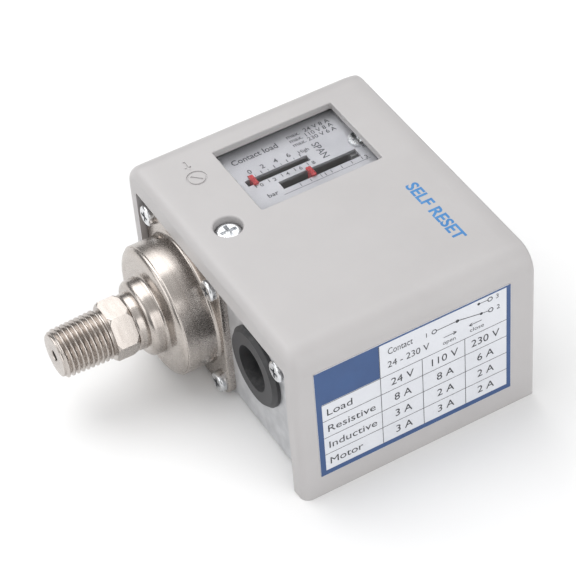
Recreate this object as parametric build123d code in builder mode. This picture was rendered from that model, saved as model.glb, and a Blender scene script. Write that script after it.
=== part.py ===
from build123d import *
import os
from math import cos, pi, sin, tan, radians

os.makedirs("parts", exist_ok=True)

# Frame: the back of the case lies on Z = 0, +Z comes out of the front cover,
# -Y is the end with the pressure connection and +X the side with the rating label.

# ---- case ----
case_width = 85.0
case_length = 67.0
cover_wall = 2.2
cover_front = 2.4
cover_end = 3.2
long_edge_radius = 6.2
end_edge_radius = 2.6
far_edge_radius = 0.9
end_crown_length = 4.4
end_crown_drop = 0.5
cover_inner_radius = 1.0
lip_width = 5.0
skirt_height = 7.1
skirt_gap = 1.6
skirt_corner_radius = 1.0

# ---- sheet chassis ----
sheet = 1.2
panel_gap = 0.35
chassis_side_gap = 1.3
bend_radius = 0.8
panel_overlap = 1.1
tab_length = 11.0
cover_tab_width = 14.0
scale_tab_width = 6.0
back_hole_edge = 3.5
back_hole_pitch_y = 40.0
back_hole_radius = 2.0
panel_corner_radius = 2.0

# ---- window ----
window_width = 25.5
window_length = 34.6
window_side = 10.0
window_to_screw = 9.8
window_corner = 0.45
window_rim = 0.3
window_recess = 2.0
lens_thickness = 1.5
lens_border = 1.0
lens_gap = 0.1
frame_wall = 1.4

# ---- cover screw ----
cover_screw_x = -6.5
cover_screw_inset = 5.55
well_radius = 3.7
well_wall = 1.7
well_rim = 0.5
cover_screw_radius = 2.0
cover_screw_head_radius = 3.4
cover_screw_head_height = 2.4
cover_screw_reach = 6.0
cover_recess_width = 1.1
cover_recess_span = 4.4
cover_recess_depth = 1.3
well_gap = 0.2
well_depth = 4.0

# ---- moulded symbol: a gauge ring with a needle, and an arrow that points to it ----
symbol_x = -26.2
symbol_to_screw = 2.0
symbol_radius = 2.7
symbol_line = 0.55
symbol_depth = 0.25
symbol_arrow = 3.4
symbol_gap = 1.0

# ---- label ----
label_height = 35.9
label_low_margin = 2.45
label_high_margin = 4.55
label_front_margin = 0.15
label_thickness = 0.2
label_corner = 1.2

# ---- pressure element ----
flange_side_gap = 0.4
flange_back_gap = 0.7
flange_border = 2.1
flange_corner = 3.6
flange_thickness = 1.1
adapter_thickness = 0.95
flange_screw_edge = 3.6
cup_radius = 17.7
cup_length = 10.2
cup_step = 0.4
cup_wall = 1.0
shoulder_width = 2.85
shoulder_height = 1.4
stake_width = 2.4
stake_height = 1.0
stake_depth = 0.5
stake_gap = 0.8
stake_first = 117.0
stake_pitch = 108.5
neck_radius = 10.2
neck_length = 4.4
neck_shoulder = 1.6
root_radius = 0.9
bellows_side_gap = 3.2
bellows_fold_depth = 3.7
bellows_folds = 5
bellows_wall = 0.4
stem_hole_border = 2.4
bellows_end_gap = 0.9
rod_radius = 2.5
rod_head_gap = 1.4
rod_head_height = 1.2

# ---- pressure connector ----
collar_radius = 7.6
collar_length = 2.4
hexagon_across_flats = 14.0
hexagon_length = 6.0
hexagon_chamfer = 0.7
thread_relief = 0.5
thread_pitch = 1.337
thread_turns = 10
thread_gauge_radius = 6.58
thread_gauge_length = 6.0
thread_taper = 1.0 / 32.0
thread_height = 0.72
port_radius = 1.45
spigot_radius = 5.0

# ---- cable grommet and earth terminal ----
grommet_bore = 6.3
grommet_wall = 2.9
grommet_rim = 1.7
grommet_inner_rim = 1.4
grommet_proud = 1.9
grommet_chamfer = 1.0
grommet_inner_length = 2.0
grommet_to_ground_x = 13.4
grommet_to_ground_z = 10.9
ground_side_gap = 3.6
ground_skirt_gap = 3.2
ground_washer_radius = 3.5
ground_washer_thickness = 0.9

# ---- small screws ----
small_screw_radius = 1.5
small_head_radius = 2.85
small_head_height = 1.7
recess_width = 0.8
recess_span = 3.2
recess_depth = 0.9
screw_fit = 0.04
screw_tip_length = 1.8
screw_tip_chamfer = 0.4
bracket_screw_offset = 6.0

# ---- lever ----
pivot_inset = 5.15
pivot_z = 6.5
pin_radius = 1.5
pin_fit = 0.05
lever_thickness = 1.6
lever_gap = 0.4
lever_screw_gap = 2.5
lever_side_gap = 0.5
ear_thickness = 1.2
ear_wall = 2.5
bracket_side_gap = 1.2
blade_border = 1.8
rod_contact_gap = 0.1
lever_corner = 2.0
lever_arm_height = 7.0
lever_arm_overhang = 4.0
lever_cheek_top = 13.0
bracket_length = 9.0
bracket_setback = 3.0

# ---- setting springs ----
setting_offset = 7.2
setting_screw_radius = 2.5
setting_head_rim = 1.7
setting_head_height = 2.6
setting_slot_width = 1.2
setting_slot_depth = 1.3
setting_screw_end_gap = 4.4
clip_rim = 1.5
clip_thickness = 1.0
clip_gap = 0.1
spring_fit = 0.1
spring_turns = 5
seat_pilot = 0.6
nut_side = 2.2
nut_corner = 0.8
range_wire = 1.1
range_spring_gap = 1.85
diff_wire = 0.8
diff_spring_gap = 1.3
seat_height = 1.6
nut_thickness = 3.0
nut_height = 11.0
nut_wall = 2.9
range_setting = 5.2
diff_setting = 18.9
range_slot_offset = -3.8
diff_slot_offset = 1.5

# ---- scale plate ----
scale_gap = 1.0
scale_thickness = 0.8
scale_side_overlap = 1.55
scale_end_margin = 4.2
range_slot_width = 2.3
range_slot_margin = 3.2
range_slot_length = 18.0
diff_slot_width = 3.1
diff_slot_margin = 10.2
diff_slot_length = 22.4
pointer_stem = 1.5
pointer_width = 3.4
pointer_length = 1.3
pointer_gap = 0.15
pointer_thickness = 0.6
scale_foot = 5.0
scale_screw_inset = 7.15
scale_head_radius = 2.6
scale_head_height = 0.75
scale_recess_width = 0.6

# ---- snap switch and terminals ----
switch_offset = 23.8
switch_width = 11.0
switch_gap = 2.9
switch_length_y = 17.0
switch_length_z = 24.0
switch_over_lever = 1.5
plunger_radius = 1.6
plunger_drop = 3.5
plunger_gap = 0.15
plunger_fit = 0.05
plunger_depth = 4.0
plunger_travel = 1.2
switch_web_width = 5.0
switch_web_inset = 2.0
foot_ear = 5.2
foot_thickness = 2.0
foot_head_trim = 0.3
block_foot_width = 9.0
switch_corner = 0.8
block_gap = 0.6
block_width = 20.0
block_length = 32.0
block_end_gap = 1.55
block_height = 15.0
terminal_pitch = 9.6
terminal_wall = 1.4
terminal_well = 5.0
terminal_plate = 1.0
terminal_screw_radius = 1.75
terminal_head_radius = 3.1
terminal_head_height = 2.0
terminal_screw_depth = 5.0

# ---- derived positions ----
flange_size = 2 * (cup_radius + flange_border)
flange_screw_pitch = flange_size - 2 * flange_screw_edge
case_depth = flange_back_gap + flange_size + skirt_gap + skirt_height
half_width = case_width / 2
half_length = case_length / 2
end_inner = half_length - cover_end
panel_y = end_inner - panel_gap
panel_inner = panel_y - sheet
front_inner = case_depth - cover_front
skirt_bottom = case_depth - skirt_height
panel_top = skirt_bottom + panel_overlap
chassis_half = half_width - cover_wall - chassis_side_gap
back_hole_pitch_x = 2 * (chassis_half - back_hole_edge)
lens_top = case_depth - window_recess
lens_bottom = lens_top - lens_thickness
cover_screw_y = -panel_inner + cover_screw_inset
window_low_y = cover_screw_y + window_to_screw
window_x = -half_width + window_side + window_width / 2
window_y = window_low_y + window_length / 2
symbol_y = cover_screw_y + symbol_to_screw
label_length = case_length - 2 * end_edge_radius - label_low_margin - label_high_margin
label_y = (label_low_margin - label_high_margin) / 2
label_z = case_depth - long_edge_radius - label_front_margin - label_height / 2
bellows_x = -half_width + lip_width + flange_side_gap + flange_size / 2
bellows_z = flange_back_gap + flange_size / 2
bellows_outer = cup_radius - cup_wall - bellows_side_gap
bellows_inner = bellows_outer - bellows_fold_depth
bellows_length = flange_thickness + cup_length - cup_wall - bellows_end_gap
rod_head_radius = bellows_inner - bellows_wall - rod_head_gap
stem_hole_radius = bellows_inner - bellows_wall - stem_hole_border
grommet_groove = grommet_bore + grommet_wall
grommet_radius = grommet_groove + grommet_rim
grommet_inner_radius = grommet_groove + grommet_inner_rim
ground_x = half_width - lip_width - ground_side_gap - ground_washer_radius
ground_z = skirt_bottom - ground_skirt_gap - ground_washer_radius
grommet_x = ground_x - grommet_to_ground_x
grommet_z = ground_z - grommet_to_ground_z
flange_face = panel_y + adapter_thickness + flange_thickness
cup_face = flange_face + cup_length
shoulder_radius = cup_radius - cup_step
neck_face = cup_face + neck_length
collar_face = neck_face + collar_length
hexagon_face = collar_face + hexagon_length
thread_length = thread_relief + thread_pitch * thread_turns + thread_pitch * 0.35
tip_face = hexagon_face + thread_length
bellows_axis = Axis((bellows_x, 0, bellows_z), (0, 1, 0))
bellows_plane = Plane(origin=(bellows_x, 0, bellows_z))
range_x = bellows_x - setting_offset
diff_x = bellows_x + setting_offset
setting_z = bellows_z
range_slot_x = bellows_x + range_slot_offset
diff_slot_x = bellows_x + diff_slot_offset
range_setting_y = window_low_y + range_setting
diff_setting_y = window_low_y + diff_setting
range_slot_start = window_low_y + range_slot_margin
diff_slot_start = window_low_y + diff_slot_margin
setting_head_radius = setting_screw_radius + setting_head_rim
clip_radius = setting_screw_radius + clip_rim
nut_margin = setting_screw_radius + nut_wall
range_spring_radius = setting_screw_radius + range_spring_gap + range_wire / 2
diff_spring_radius = setting_screw_radius + diff_spring_gap + diff_wire / 2
pivot_y = -panel_inner + pivot_inset
lever_face = pivot_y + pin_radius + lever_gap
lever_back = lever_face + lever_thickness
setting_screw_end = lever_back + seat_height + seat_pilot + setting_screw_end_gap
well_floor = case_depth - well_depth
grommet_length = grommet_proud + sheet + grommet_inner_length
hexagon_corner = hexagon_across_flats / 2 / cos(radians(30))
hexagon_turn = 4.0
bellows_end = panel_y + adapter_thickness + bellows_length
rod_end = lever_face - rod_contact_gap
bracket_ear_radius = pin_radius + ear_wall
bracket_half_width = flange_screw_pitch / 2 - small_screw_radius - bracket_side_gap
blade_half_width = setting_offset + range_spring_radius + range_wire + blade_border
lever_half_width = bracket_half_width - ear_thickness - lever_side_gap
lever_top = panel_top - cover_screw_reach - lever_screw_gap
lever_arm_low = lever_top - lever_arm_height
switch_x = bellows_x + switch_offset
switch_start_y = lever_back + switch_gap
switch_low_z = lever_top + switch_over_lever - switch_length_z
plunger_z = lever_top - plunger_drop
lever_low = lever_cheek_top - lever_thickness
lever_arm_end = switch_x + lever_arm_overhang
bracket_y = pivot_y + bracket_setback
bracket_screw_places = [(bellows_x - bracket_screw_offset, bracket_y + bracket_setback),
                        (bellows_x + bracket_screw_offset, bracket_y + bracket_setback)]
scale_screw_y = panel_inner - scale_screw_inset
scale_top = lens_bottom - scale_gap
scale_width = window_width + 2 * scale_side_overlap
scale_low_y = window_low_y - scale_end_margin / 2
scale_high_y = scale_screw_y + scale_end_margin
block_x = switch_x + switch_width / 2 + block_gap + block_width / 2
block_start_y = panel_inner - block_end_gap - foot_ear - block_length
terminal_floor = sheet + block_height - terminal_well


def is_corner(vertex, radius, y):
    # a corner of a turned outline, by its radius and its place along the axis
    return abs(vertex.X - radius) < 0.01 and abs(vertex.Y - y) < 0.01


def thread_outline():
    # ridges of the taper thread from the hexagon to the tip, as (radius, y)
    points = [(thread_root(0), -hexagon_face), (thread_root(0), -hexagon_face - thread_relief)]
    for turn in range(thread_turns):
        start = thread_relief + turn * thread_pitch
        crest = thread_root(start) + thread_height
        points.append((crest, -hexagon_face - start - 0.42 * thread_pitch))
        points.append((crest, -hexagon_face - start - 0.58 * thread_pitch))
        points.append((thread_root(start + thread_pitch), -hexagon_face - start - thread_pitch))
    points.append((thread_root(thread_length), -tip_face))
    return points


def thread_root(from_hexagon):
    # root radius, which shrinks towards the tip along the taper
    gauge_at = thread_length - thread_gauge_length
    return thread_gauge_radius - thread_height + (gauge_at - from_hexagon) * thread_taper


def bellows_outline(shift):
    # folds as (radius, y), from the closed end to the open end, shifted for the wall
    fold = (bellows_length - 2 * bellows_wall) / bellows_folds
    points = [(bellows_inner + shift, -bellows_end)]
    for turn in range(bellows_folds):
        start = -bellows_end + bellows_wall + turn * fold
        points.append((bellows_inner + shift, start))
        points.append((bellows_outer + shift, start + 0.3 * fold))
        points.append((bellows_outer + shift, start + 0.7 * fold))
    points.append((bellows_inner + shift, -panel_y - adapter_thickness))
    return points


# ================= case =================

with BuildPart() as cover:
    with BuildSketch():
        Rectangle(case_width, case_length)
    extrude(amount=case_depth)
    # the front falls away a little towards both ends
    for end in (-1, 1):
        with BuildSketch(Plane.YZ.offset(-half_width)):
            with BuildLine():
                fall = TangentArc((end * (half_length - end_crown_length), case_depth),
                                  (end * half_length, case_depth - end_crown_drop),
                                  tangent=(end, 0))
                Polyline(fall @ 1, (end * half_length, case_depth + end_crown_drop), fall @ 0)
            make_face()
        extrude(amount=case_width, mode=Mode.SUBTRACT)
    fillet(cover.edges().filter_by(lambda e: abs(e.center().X) > half_width - 0.01
           and e.center().Z > case_depth - end_crown_drop), long_edge_radius)
    fillet(cover.faces().sort_by(Axis.Y)[0].edges().filter_by(lambda e: e.center().Z > 0.1),
           end_edge_radius)
    fillet(cover.faces().sort_by(Axis.Y)[-1].edges().filter_by(lambda e: e.center().Z > 0.1),
           far_edge_radius)
    # cavity, open at the back
    with BuildSketch(Plane.XZ.offset(-end_inner)) as cavity:
        with Locations((0, front_inner / 2)):
            Rectangle(2 * (half_width - cover_wall), front_inner)
        fillet(cavity.vertices().group_by(Axis.Y)[-1], long_edge_radius - cover_wall)
    extrude(amount=2 * end_inner, mode=Mode.SUBTRACT)
    # openings for the two end panels, between the lips and under the skirt
    with BuildSketch(Plane.XZ.offset(-half_length)) as end_opening:
        with Locations((0, skirt_bottom / 2)):
            Rectangle(2 * (half_width - lip_width), skirt_bottom)
        fillet(end_opening.vertices().group_by(Axis.Y)[-1], skirt_corner_radius)
    extrude(amount=case_length, mode=Mode.SUBTRACT)
    # frame that holds the lens behind the window
    with BuildSketch(Plane.XY.offset(front_inner)):
        with Locations((window_x, window_y)):
            Rectangle(window_width + 2 * (lens_border + frame_wall),
                      window_length + 2 * (lens_border + frame_wall))
    extrude(amount=lens_bottom - front_inner)
    with BuildSketch(Plane.XY.offset(lens_top)):
        with Locations((window_x, window_y)):
            Rectangle(window_width + 2 * lens_border, window_length + 2 * lens_border)
    extrude(amount=-window_recess - lens_thickness, mode=Mode.SUBTRACT)
    with BuildSketch(Plane.XY.offset(case_depth)):
        with Locations((window_x, window_y)):
            RectangleRounded(window_width, window_length, window_corner)
    extrude(amount=-window_recess - lens_thickness, mode=Mode.SUBTRACT)
    fillet(cover.faces().filter_by(Axis.Z).sort_by(SortBy.AREA)[-1].inner_wires().edges(),
           window_rim)
    # screw well that stands on the chassis tab
    with BuildSketch(Plane.XY.offset(panel_top + well_gap)):
        with Locations((cover_screw_x, cover_screw_y)):
            Circle(well_radius + well_wall)
    extrude(amount=case_depth - cover_front - panel_top - well_gap)
    with BuildSketch(Plane.XY.offset(case_depth)):
        with Locations((cover_screw_x, cover_screw_y)):
            Circle(well_radius)
    extrude(amount=well_floor - case_depth, mode=Mode.SUBTRACT)
    fillet(cover.edges().filter_by(GeomType.CIRCLE).filter_by(
        lambda e: abs(e.radius - well_radius) < 0.01 and abs(e.center().Z - case_depth) < 0.01),
        well_rim)
    with BuildSketch(Plane.XY.offset(case_depth)):
        with Locations((cover_screw_x, cover_screw_y)):
            Circle(cover_screw_radius + pin_fit)
    extrude(amount=panel_top - case_depth, mode=Mode.SUBTRACT)
    # moulded symbol
    with BuildSketch(Plane.XY.offset(case_depth)):
        with Locations((symbol_x, symbol_y)):
            Circle(symbol_radius)
            Circle(symbol_radius - symbol_line, mode=Mode.SUBTRACT)
        with Locations(Location((symbol_x, symbol_y, 0), (0, 0, 45))):
            Rectangle(1.2 * symbol_radius, symbol_line)
        with Locations((symbol_x - symbol_radius - symbol_gap - symbol_arrow / 2, symbol_y)):
            Rectangle(symbol_arrow, symbol_line)
        with Locations((symbol_x - symbol_radius - symbol_gap - symbol_line, symbol_y)):
            RegularPolygon(2 * symbol_line, 3)
    extrude(amount=-symbol_depth, mode=Mode.SUBTRACT)
cover.part.label = "cover"
export_step(cover.part, "parts/cover.step")

with BuildPart() as window_lens:
    with BuildSketch(Plane.XY.offset(lens_top)):
        with Locations((window_x, window_y)):
            Rectangle(window_width + 2 * (lens_border - lens_gap),
                      window_length + 2 * (lens_border - lens_gap))
    extrude(amount=-lens_thickness)
window_lens.part.label = "window_lens"
export_step(window_lens.part, "parts/window_lens.step")

with BuildPart() as rating_label:
    with BuildSketch(Plane.YZ.offset(half_width)):
        with Locations((label_y, label_z)):
            RectangleRounded(label_length, label_height, label_corner)
    extrude(amount=label_thickness)
rating_label.part.label = "rating_label"
export_step(rating_label.part, "parts/rating_label.step")

with BuildPart() as cover_screw:
    with BuildSketch(Plane.XY.offset(well_floor)):
        with Locations((cover_screw_x, cover_screw_y)):
            Circle(cover_screw_head_radius)
    extrude(amount=cover_screw_head_height)
    fillet(cover_screw.edges().group_by(Axis.Z)[-1], 0.4 * cover_screw_head_height)
    with BuildSketch(Plane.XY.offset(well_floor)):
        with Locations((cover_screw_x, cover_screw_y)):
            Circle(cover_screw_radius)
    extrude(amount=panel_top - cover_screw_reach - well_floor)
    chamfer(cover_screw.edges().group_by(Axis.Z)[0], screw_tip_chamfer)
    with BuildSketch(Plane.XY.offset(well_floor + cover_screw_head_height)):
        with Locations((cover_screw_x, cover_screw_y)):
            Rectangle(cover_recess_span, cover_recess_width)
            Rectangle(cover_recess_width, cover_recess_span)
    extrude(amount=-cover_recess_depth, mode=Mode.SUBTRACT)
cover_screw.part.label = "cover_screw"
export_step(cover_screw.part, "parts/cover_screw.step")

with BuildPart() as chassis:
    # back plate and both end panels, folded from one sheet
    with BuildSketch(Plane.YZ.offset(-chassis_half)) as fold:
        with Locations((0, panel_top / 2)):
            Rectangle(2 * panel_y, panel_top)
        fillet(fold.vertices().group_by(Axis.Y)[0], bend_radius + sheet)
    extrude(amount=2 * chassis_half)
    with BuildSketch(Plane.YZ.offset(-chassis_half)) as fold_inside:
        with Locations((0, sheet + panel_top / 2)):
            Rectangle(2 * panel_inner, panel_top)
        fillet(fold_inside.vertices().group_by(Axis.Y)[0], bend_radius)
    extrude(amount=2 * chassis_half, mode=Mode.SUBTRACT)
    fillet(chassis.edges().filter_by(Axis.Y).group_by(Axis.Z)[-1], panel_corner_radius)
    # tab under the cover screw
    with BuildSketch(Plane.XY.offset(panel_top)):
        with Locations((cover_screw_x, -panel_inner + tab_length / 2)):
            Rectangle(cover_tab_width, tab_length)
    extrude(amount=-sheet)
    # tab under the scale plate
    with BuildSketch(Plane.XY.offset(panel_top)):
        with Locations((window_x, panel_inner - tab_length / 2)):
            Rectangle(scale_tab_width, tab_length)
    extrude(amount=-sheet)
    with BuildSketch(Plane.XY.offset(panel_top)):
        with Locations((cover_screw_x, cover_screw_y)):
            Circle(cover_screw_radius + pin_fit)
        with Locations((window_x, scale_screw_y)):
            Circle(small_screw_radius + screw_fit)
    extrude(amount=-2 * sheet, mode=Mode.SUBTRACT)
    # mounting holes in the back
    with BuildSketch():
        with GridLocations(back_hole_pitch_x, back_hole_pitch_y, 2, 2):
            Circle(back_hole_radius)
        with Locations(*bracket_screw_places):
            Circle(small_screw_radius + screw_fit)
        with Locations((switch_x, switch_start_y + switch_length_y / 2)):
            with GridLocations(0, switch_length_y + foot_ear, 1, 2):
                Circle(small_screw_radius + screw_fit)
        with Locations((block_x, block_start_y + block_length / 2)):
            with GridLocations(0, block_length + foot_ear, 1, 2):
                Circle(small_screw_radius + screw_fit)
    extrude(amount=sheet, mode=Mode.SUBTRACT)
    # lower panel: pressure element, cable hole and earth screw
    with BuildSketch(Plane.XZ.offset(panel_y)):
        with Locations((bellows_x, bellows_z)):
            Circle(stem_hole_radius)
            with GridLocations(flange_screw_pitch, flange_screw_pitch, 2, 2):
                Circle(small_screw_radius + screw_fit)
        with Locations((grommet_x, grommet_z)):
            Circle(grommet_groove + screw_fit)
        with Locations((ground_x, ground_z)):
            Circle(small_screw_radius + screw_fit)
    extrude(amount=-sheet, mode=Mode.SUBTRACT)
    # upper panel: the two setting screws
    with BuildSketch(Plane.XZ.offset(-panel_y)):
        with Locations((range_x, setting_z), (diff_x, setting_z)):
            Circle(setting_screw_radius + pin_fit)
    extrude(amount=sheet, mode=Mode.SUBTRACT)
chassis.part.label = "chassis"
export_step(chassis.part, "parts/chassis.step")


# ================= pressure element =================

with BuildPart() as adapter_plate:
    with BuildSketch(Plane.XZ.offset(panel_y)):
        with Locations((bellows_x, bellows_z)):
            RectangleRounded(flange_size, flange_size, flange_corner)
            Circle(stem_hole_radius, mode=Mode.SUBTRACT)
            with GridLocations(flange_screw_pitch, flange_screw_pitch, 2, 2):
                Circle(small_screw_radius + screw_fit, mode=Mode.SUBTRACT)
    extrude(amount=adapter_thickness)
adapter_plate.part.label = "adapter_plate"
export_step(adapter_plate.part, "parts/adapter_plate.step")

with BuildPart() as bellows_housing:
    # stamped cup: wide cup, shoulder and narrow neck, turned about the bellows axis
    with BuildSketch(bellows_plane) as cup_outline:
        with BuildLine():
            shoulder = TangentArc((shoulder_radius - shoulder_width, -cup_face),
                                  (shoulder_radius, shoulder_height - cup_face), tangent=(1, 0))
            Polyline(shoulder @ 1, (cup_radius, shoulder_height - cup_face),
                     (cup_radius, -panel_y - adapter_thickness), (0, -panel_y - adapter_thickness),
                     (0, -neck_face), (neck_radius, -neck_face), (neck_radius, -cup_face),
                     shoulder @ 0)
        make_face()
        fillet(cup_outline.vertices().filter_by(
            lambda v: is_corner(v, cup_radius, shoulder_height - cup_face)), 0.8 * cup_step)
        fillet(cup_outline.vertices().filter_by(lambda v: is_corner(v, neck_radius, -neck_face)),
               neck_shoulder)
        fillet(cup_outline.vertices().filter_by(lambda v: is_corner(v, neck_radius, -cup_face)),
               root_radius)
    revolve(axis=bellows_axis)
    with BuildSketch(Plane.XZ.offset(panel_y + adapter_thickness)):
        with Locations((bellows_x, bellows_z)):
            RectangleRounded(flange_size, flange_size, flange_corner)
    extrude(amount=flange_thickness)
    fillet(bellows_housing.edges().filter_by(GeomType.CIRCLE).filter_by(
        lambda e: abs(e.radius - cup_radius) < 0.01 and abs(e.center().Y + flange_face) < 0.01),
        root_radius)
    # stake marks at the root of the cup
    for place in range(3):
        with BuildSketch(Plane.XZ.offset(flange_face + root_radius + stake_gap)):
            with Locations(Location((bellows_x, bellows_z, 0),
                                    (0, 0, stake_first + place * stake_pitch))):
                with Locations((cup_radius, 0)):
                    Rectangle(2 * stake_depth, stake_width)
        extrude(amount=stake_height, mode=Mode.SUBTRACT)
    # inside of the cup
    with BuildSketch(bellows_plane) as cup_inside:
        with BuildLine():
            Polyline((0, -panel_y), (cup_radius - cup_wall, -panel_y),
                     (cup_radius - cup_wall, -cup_face + cup_wall),
                     (neck_radius - cup_wall, -cup_face + cup_wall),
                     (neck_radius - cup_wall, -neck_face + cup_wall),
                     (0, -neck_face + cup_wall), close=True)
        make_face()
        chamfer(cup_inside.vertices().filter_by(
            lambda v: is_corner(v, cup_radius - cup_wall, cup_wall - cup_face)),
            0.8 * shoulder_height)
    revolve(axis=bellows_axis, mode=Mode.SUBTRACT)
    with BuildSketch(Plane.XZ.offset(neck_face)):
        with Locations((bellows_x, bellows_z)):
            Circle(spigot_radius)
    extrude(amount=-2 * cup_wall, mode=Mode.SUBTRACT)
    with BuildSketch(Plane.XZ.offset(flange_face)):
        with Locations((bellows_x, bellows_z)):
            with GridLocations(flange_screw_pitch, flange_screw_pitch, 2, 2):
                Circle(small_screw_radius + screw_fit)
    extrude(amount=-flange_thickness, mode=Mode.SUBTRACT)
bellows_housing.part.label = "bellows_housing"
export_step(bellows_housing.part, "parts/bellows_housing.step")

with BuildPart() as flange_screws:
    with BuildSketch(Plane.XZ.offset(flange_face)):
        with Locations((bellows_x, bellows_z)):
            with GridLocations(flange_screw_pitch, flange_screw_pitch, 2, 2):
                Circle(small_head_radius)
    extrude(amount=small_head_height)
    fillet(flange_screws.edges().group_by(Axis.Y)[0], 0.45 * small_head_height)
    with BuildSketch(Plane.XZ.offset(flange_face)):
        with Locations((bellows_x, bellows_z)):
            with GridLocations(flange_screw_pitch, flange_screw_pitch, 2, 2):
                Circle(small_screw_radius)
    extrude(amount=panel_inner - flange_face - screw_tip_length)
    with BuildSketch(Plane.XZ.offset(flange_face + small_head_height)):
        with Locations((bellows_x, bellows_z)):
            with GridLocations(flange_screw_pitch, flange_screw_pitch, 2, 2):
                Rectangle(recess_span, recess_width)
                Rectangle(recess_width, recess_span)
    extrude(amount=-recess_depth, mode=Mode.SUBTRACT)
flange_screws.part.label = "flange_screws"
export_step(flange_screws.part, "parts/flange_screws.step")

with BuildPart() as pressure_connector:
    # collar and spigot brazed into the neck
    with BuildSketch(Plane.XZ.offset(neck_face)):
        with Locations((bellows_x, bellows_z)):
            Circle(collar_radius)
    extrude(amount=collar_length)
    fillet(pressure_connector.edges().group_by(Axis.Y)[0], 0.35 * collar_length)
    with BuildSketch(Plane.XZ.offset(neck_face)):
        with Locations((bellows_x, bellows_z)):
            Circle(spigot_radius)
    extrude(amount=-cup_wall)
    # hexagon, turned a little from the front as it was brazed, with a chamfer at both ends
    with BuildSketch(Plane.XZ.offset(collar_face)):
        with Locations((bellows_x, bellows_z)):
            RegularPolygon(hexagon_across_flats / 2, 6, major_radius=False, rotation=hexagon_turn)
    extrude(amount=hexagon_length)
    with BuildSketch(bellows_plane):
        with BuildLine():
            Polyline((hexagon_corner - hexagon_chamfer, -hexagon_face),
                     (hexagon_corner + hexagon_chamfer, -hexagon_face),
                     (hexagon_corner + hexagon_chamfer, -hexagon_face + hexagon_chamfer * 1.15),
                     close=True)
        make_face()
    revolve(axis=bellows_axis, mode=Mode.SUBTRACT)
    with BuildSketch(bellows_plane):
        with BuildLine():
            Polyline((hexagon_corner - hexagon_chamfer, -collar_face),
                     (hexagon_corner + hexagon_chamfer, -collar_face),
                     (hexagon_corner + hexagon_chamfer, -collar_face - hexagon_chamfer * 1.15),
                     close=True)
        make_face()
    revolve(axis=bellows_axis, mode=Mode.SUBTRACT)
    # taper thread drawn as closed ridges, one per pitch
    with BuildSketch(bellows_plane):
        with BuildLine():
            Polyline((0, -hexagon_face), *thread_outline(), (0, -tip_face), close=True)
        make_face()
    revolve(axis=bellows_axis)
    # pressure passage
    with BuildSketch(Plane.XZ.offset(tip_face)):
        with Locations((bellows_x, bellows_z)):
            Circle(port_radius)
    extrude(amount=neck_face - cup_wall - tip_face, mode=Mode.SUBTRACT)
pressure_connector.part.label = "pressure_connector"
export_step(pressure_connector.part, "parts/pressure_connector.step")

with BuildPart() as bellows:
    # folded metal bellows, closed at the end that faces the pressure port
    with BuildSketch(bellows_plane):
        with BuildLine():
            Polyline((0, -bellows_end), *bellows_outline(0), (bellows_inner - bellows_wall, -panel_y
                     - adapter_thickness), *reversed(bellows_outline(-bellows_wall)[:-1]),
                     (bellows_inner - bellows_wall, -bellows_end + bellows_wall),
                     (0, -bellows_end + bellows_wall), close=True)
        make_face()
    revolve(axis=bellows_axis)
bellows.part.label = "bellows"
export_step(bellows.part, "parts/bellows.step")

with BuildPart() as push_rod:
    with BuildSketch(Plane.XZ.offset(bellows_end - bellows_wall)):
        with Locations((bellows_x, bellows_z)):
            Circle(rod_head_radius)
    extrude(amount=-rod_head_height)
    with BuildSketch(Plane.XZ.offset(bellows_end - bellows_wall)):
        with Locations((bellows_x, bellows_z)):
            Circle(rod_radius)
    extrude(amount=bellows_wall - bellows_end - rod_end)
    fillet(push_rod.edges().group_by(Axis.Y)[-1], 0.3 * rod_radius)
push_rod.part.label = "push_rod"
export_step(push_rod.part, "parts/push_rod.step")


# ================= cable entry and earth terminal =================

with BuildPart() as cable_grommet:
    with BuildSketch(Plane.XZ.offset(panel_y)):
        with Locations((grommet_x, grommet_z)):
            Circle(grommet_radius)
    extrude(amount=grommet_proud)
    chamfer(cable_grommet.edges().group_by(Axis.Y)[0], grommet_chamfer)
    with BuildSketch(Plane.XZ.offset(panel_y)):
        with Locations((grommet_x, grommet_z)):
            Circle(grommet_groove)
    extrude(amount=-sheet)
    with BuildSketch(Plane.XZ.offset(panel_inner)):
        with Locations((grommet_x, grommet_z)):
            Circle(grommet_inner_radius)
    extrude(amount=-grommet_inner_length)
    fillet(cable_grommet.edges().group_by(Axis.Y)[-1], 0.4 * grommet_inner_length)
    with BuildSketch(Plane.XZ.offset(panel_y + grommet_proud)):
        with Locations((grommet_x, grommet_z)):
            Circle(grommet_bore)
    extrude(amount=-grommet_length, mode=Mode.SUBTRACT)
cable_grommet.part.label = "cable_grommet"
export_step(cable_grommet.part, "parts/cable_grommet.step")

with BuildPart() as ground_washer:
    with BuildSketch(Plane.XZ.offset(panel_y)):
        with Locations((ground_x, ground_z)):
            Circle(ground_washer_radius)
            Circle(small_screw_radius + screw_fit, mode=Mode.SUBTRACT)
    extrude(amount=ground_washer_thickness)
ground_washer.part.label = "ground_washer"
export_step(ground_washer.part, "parts/ground_washer.step")

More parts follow.
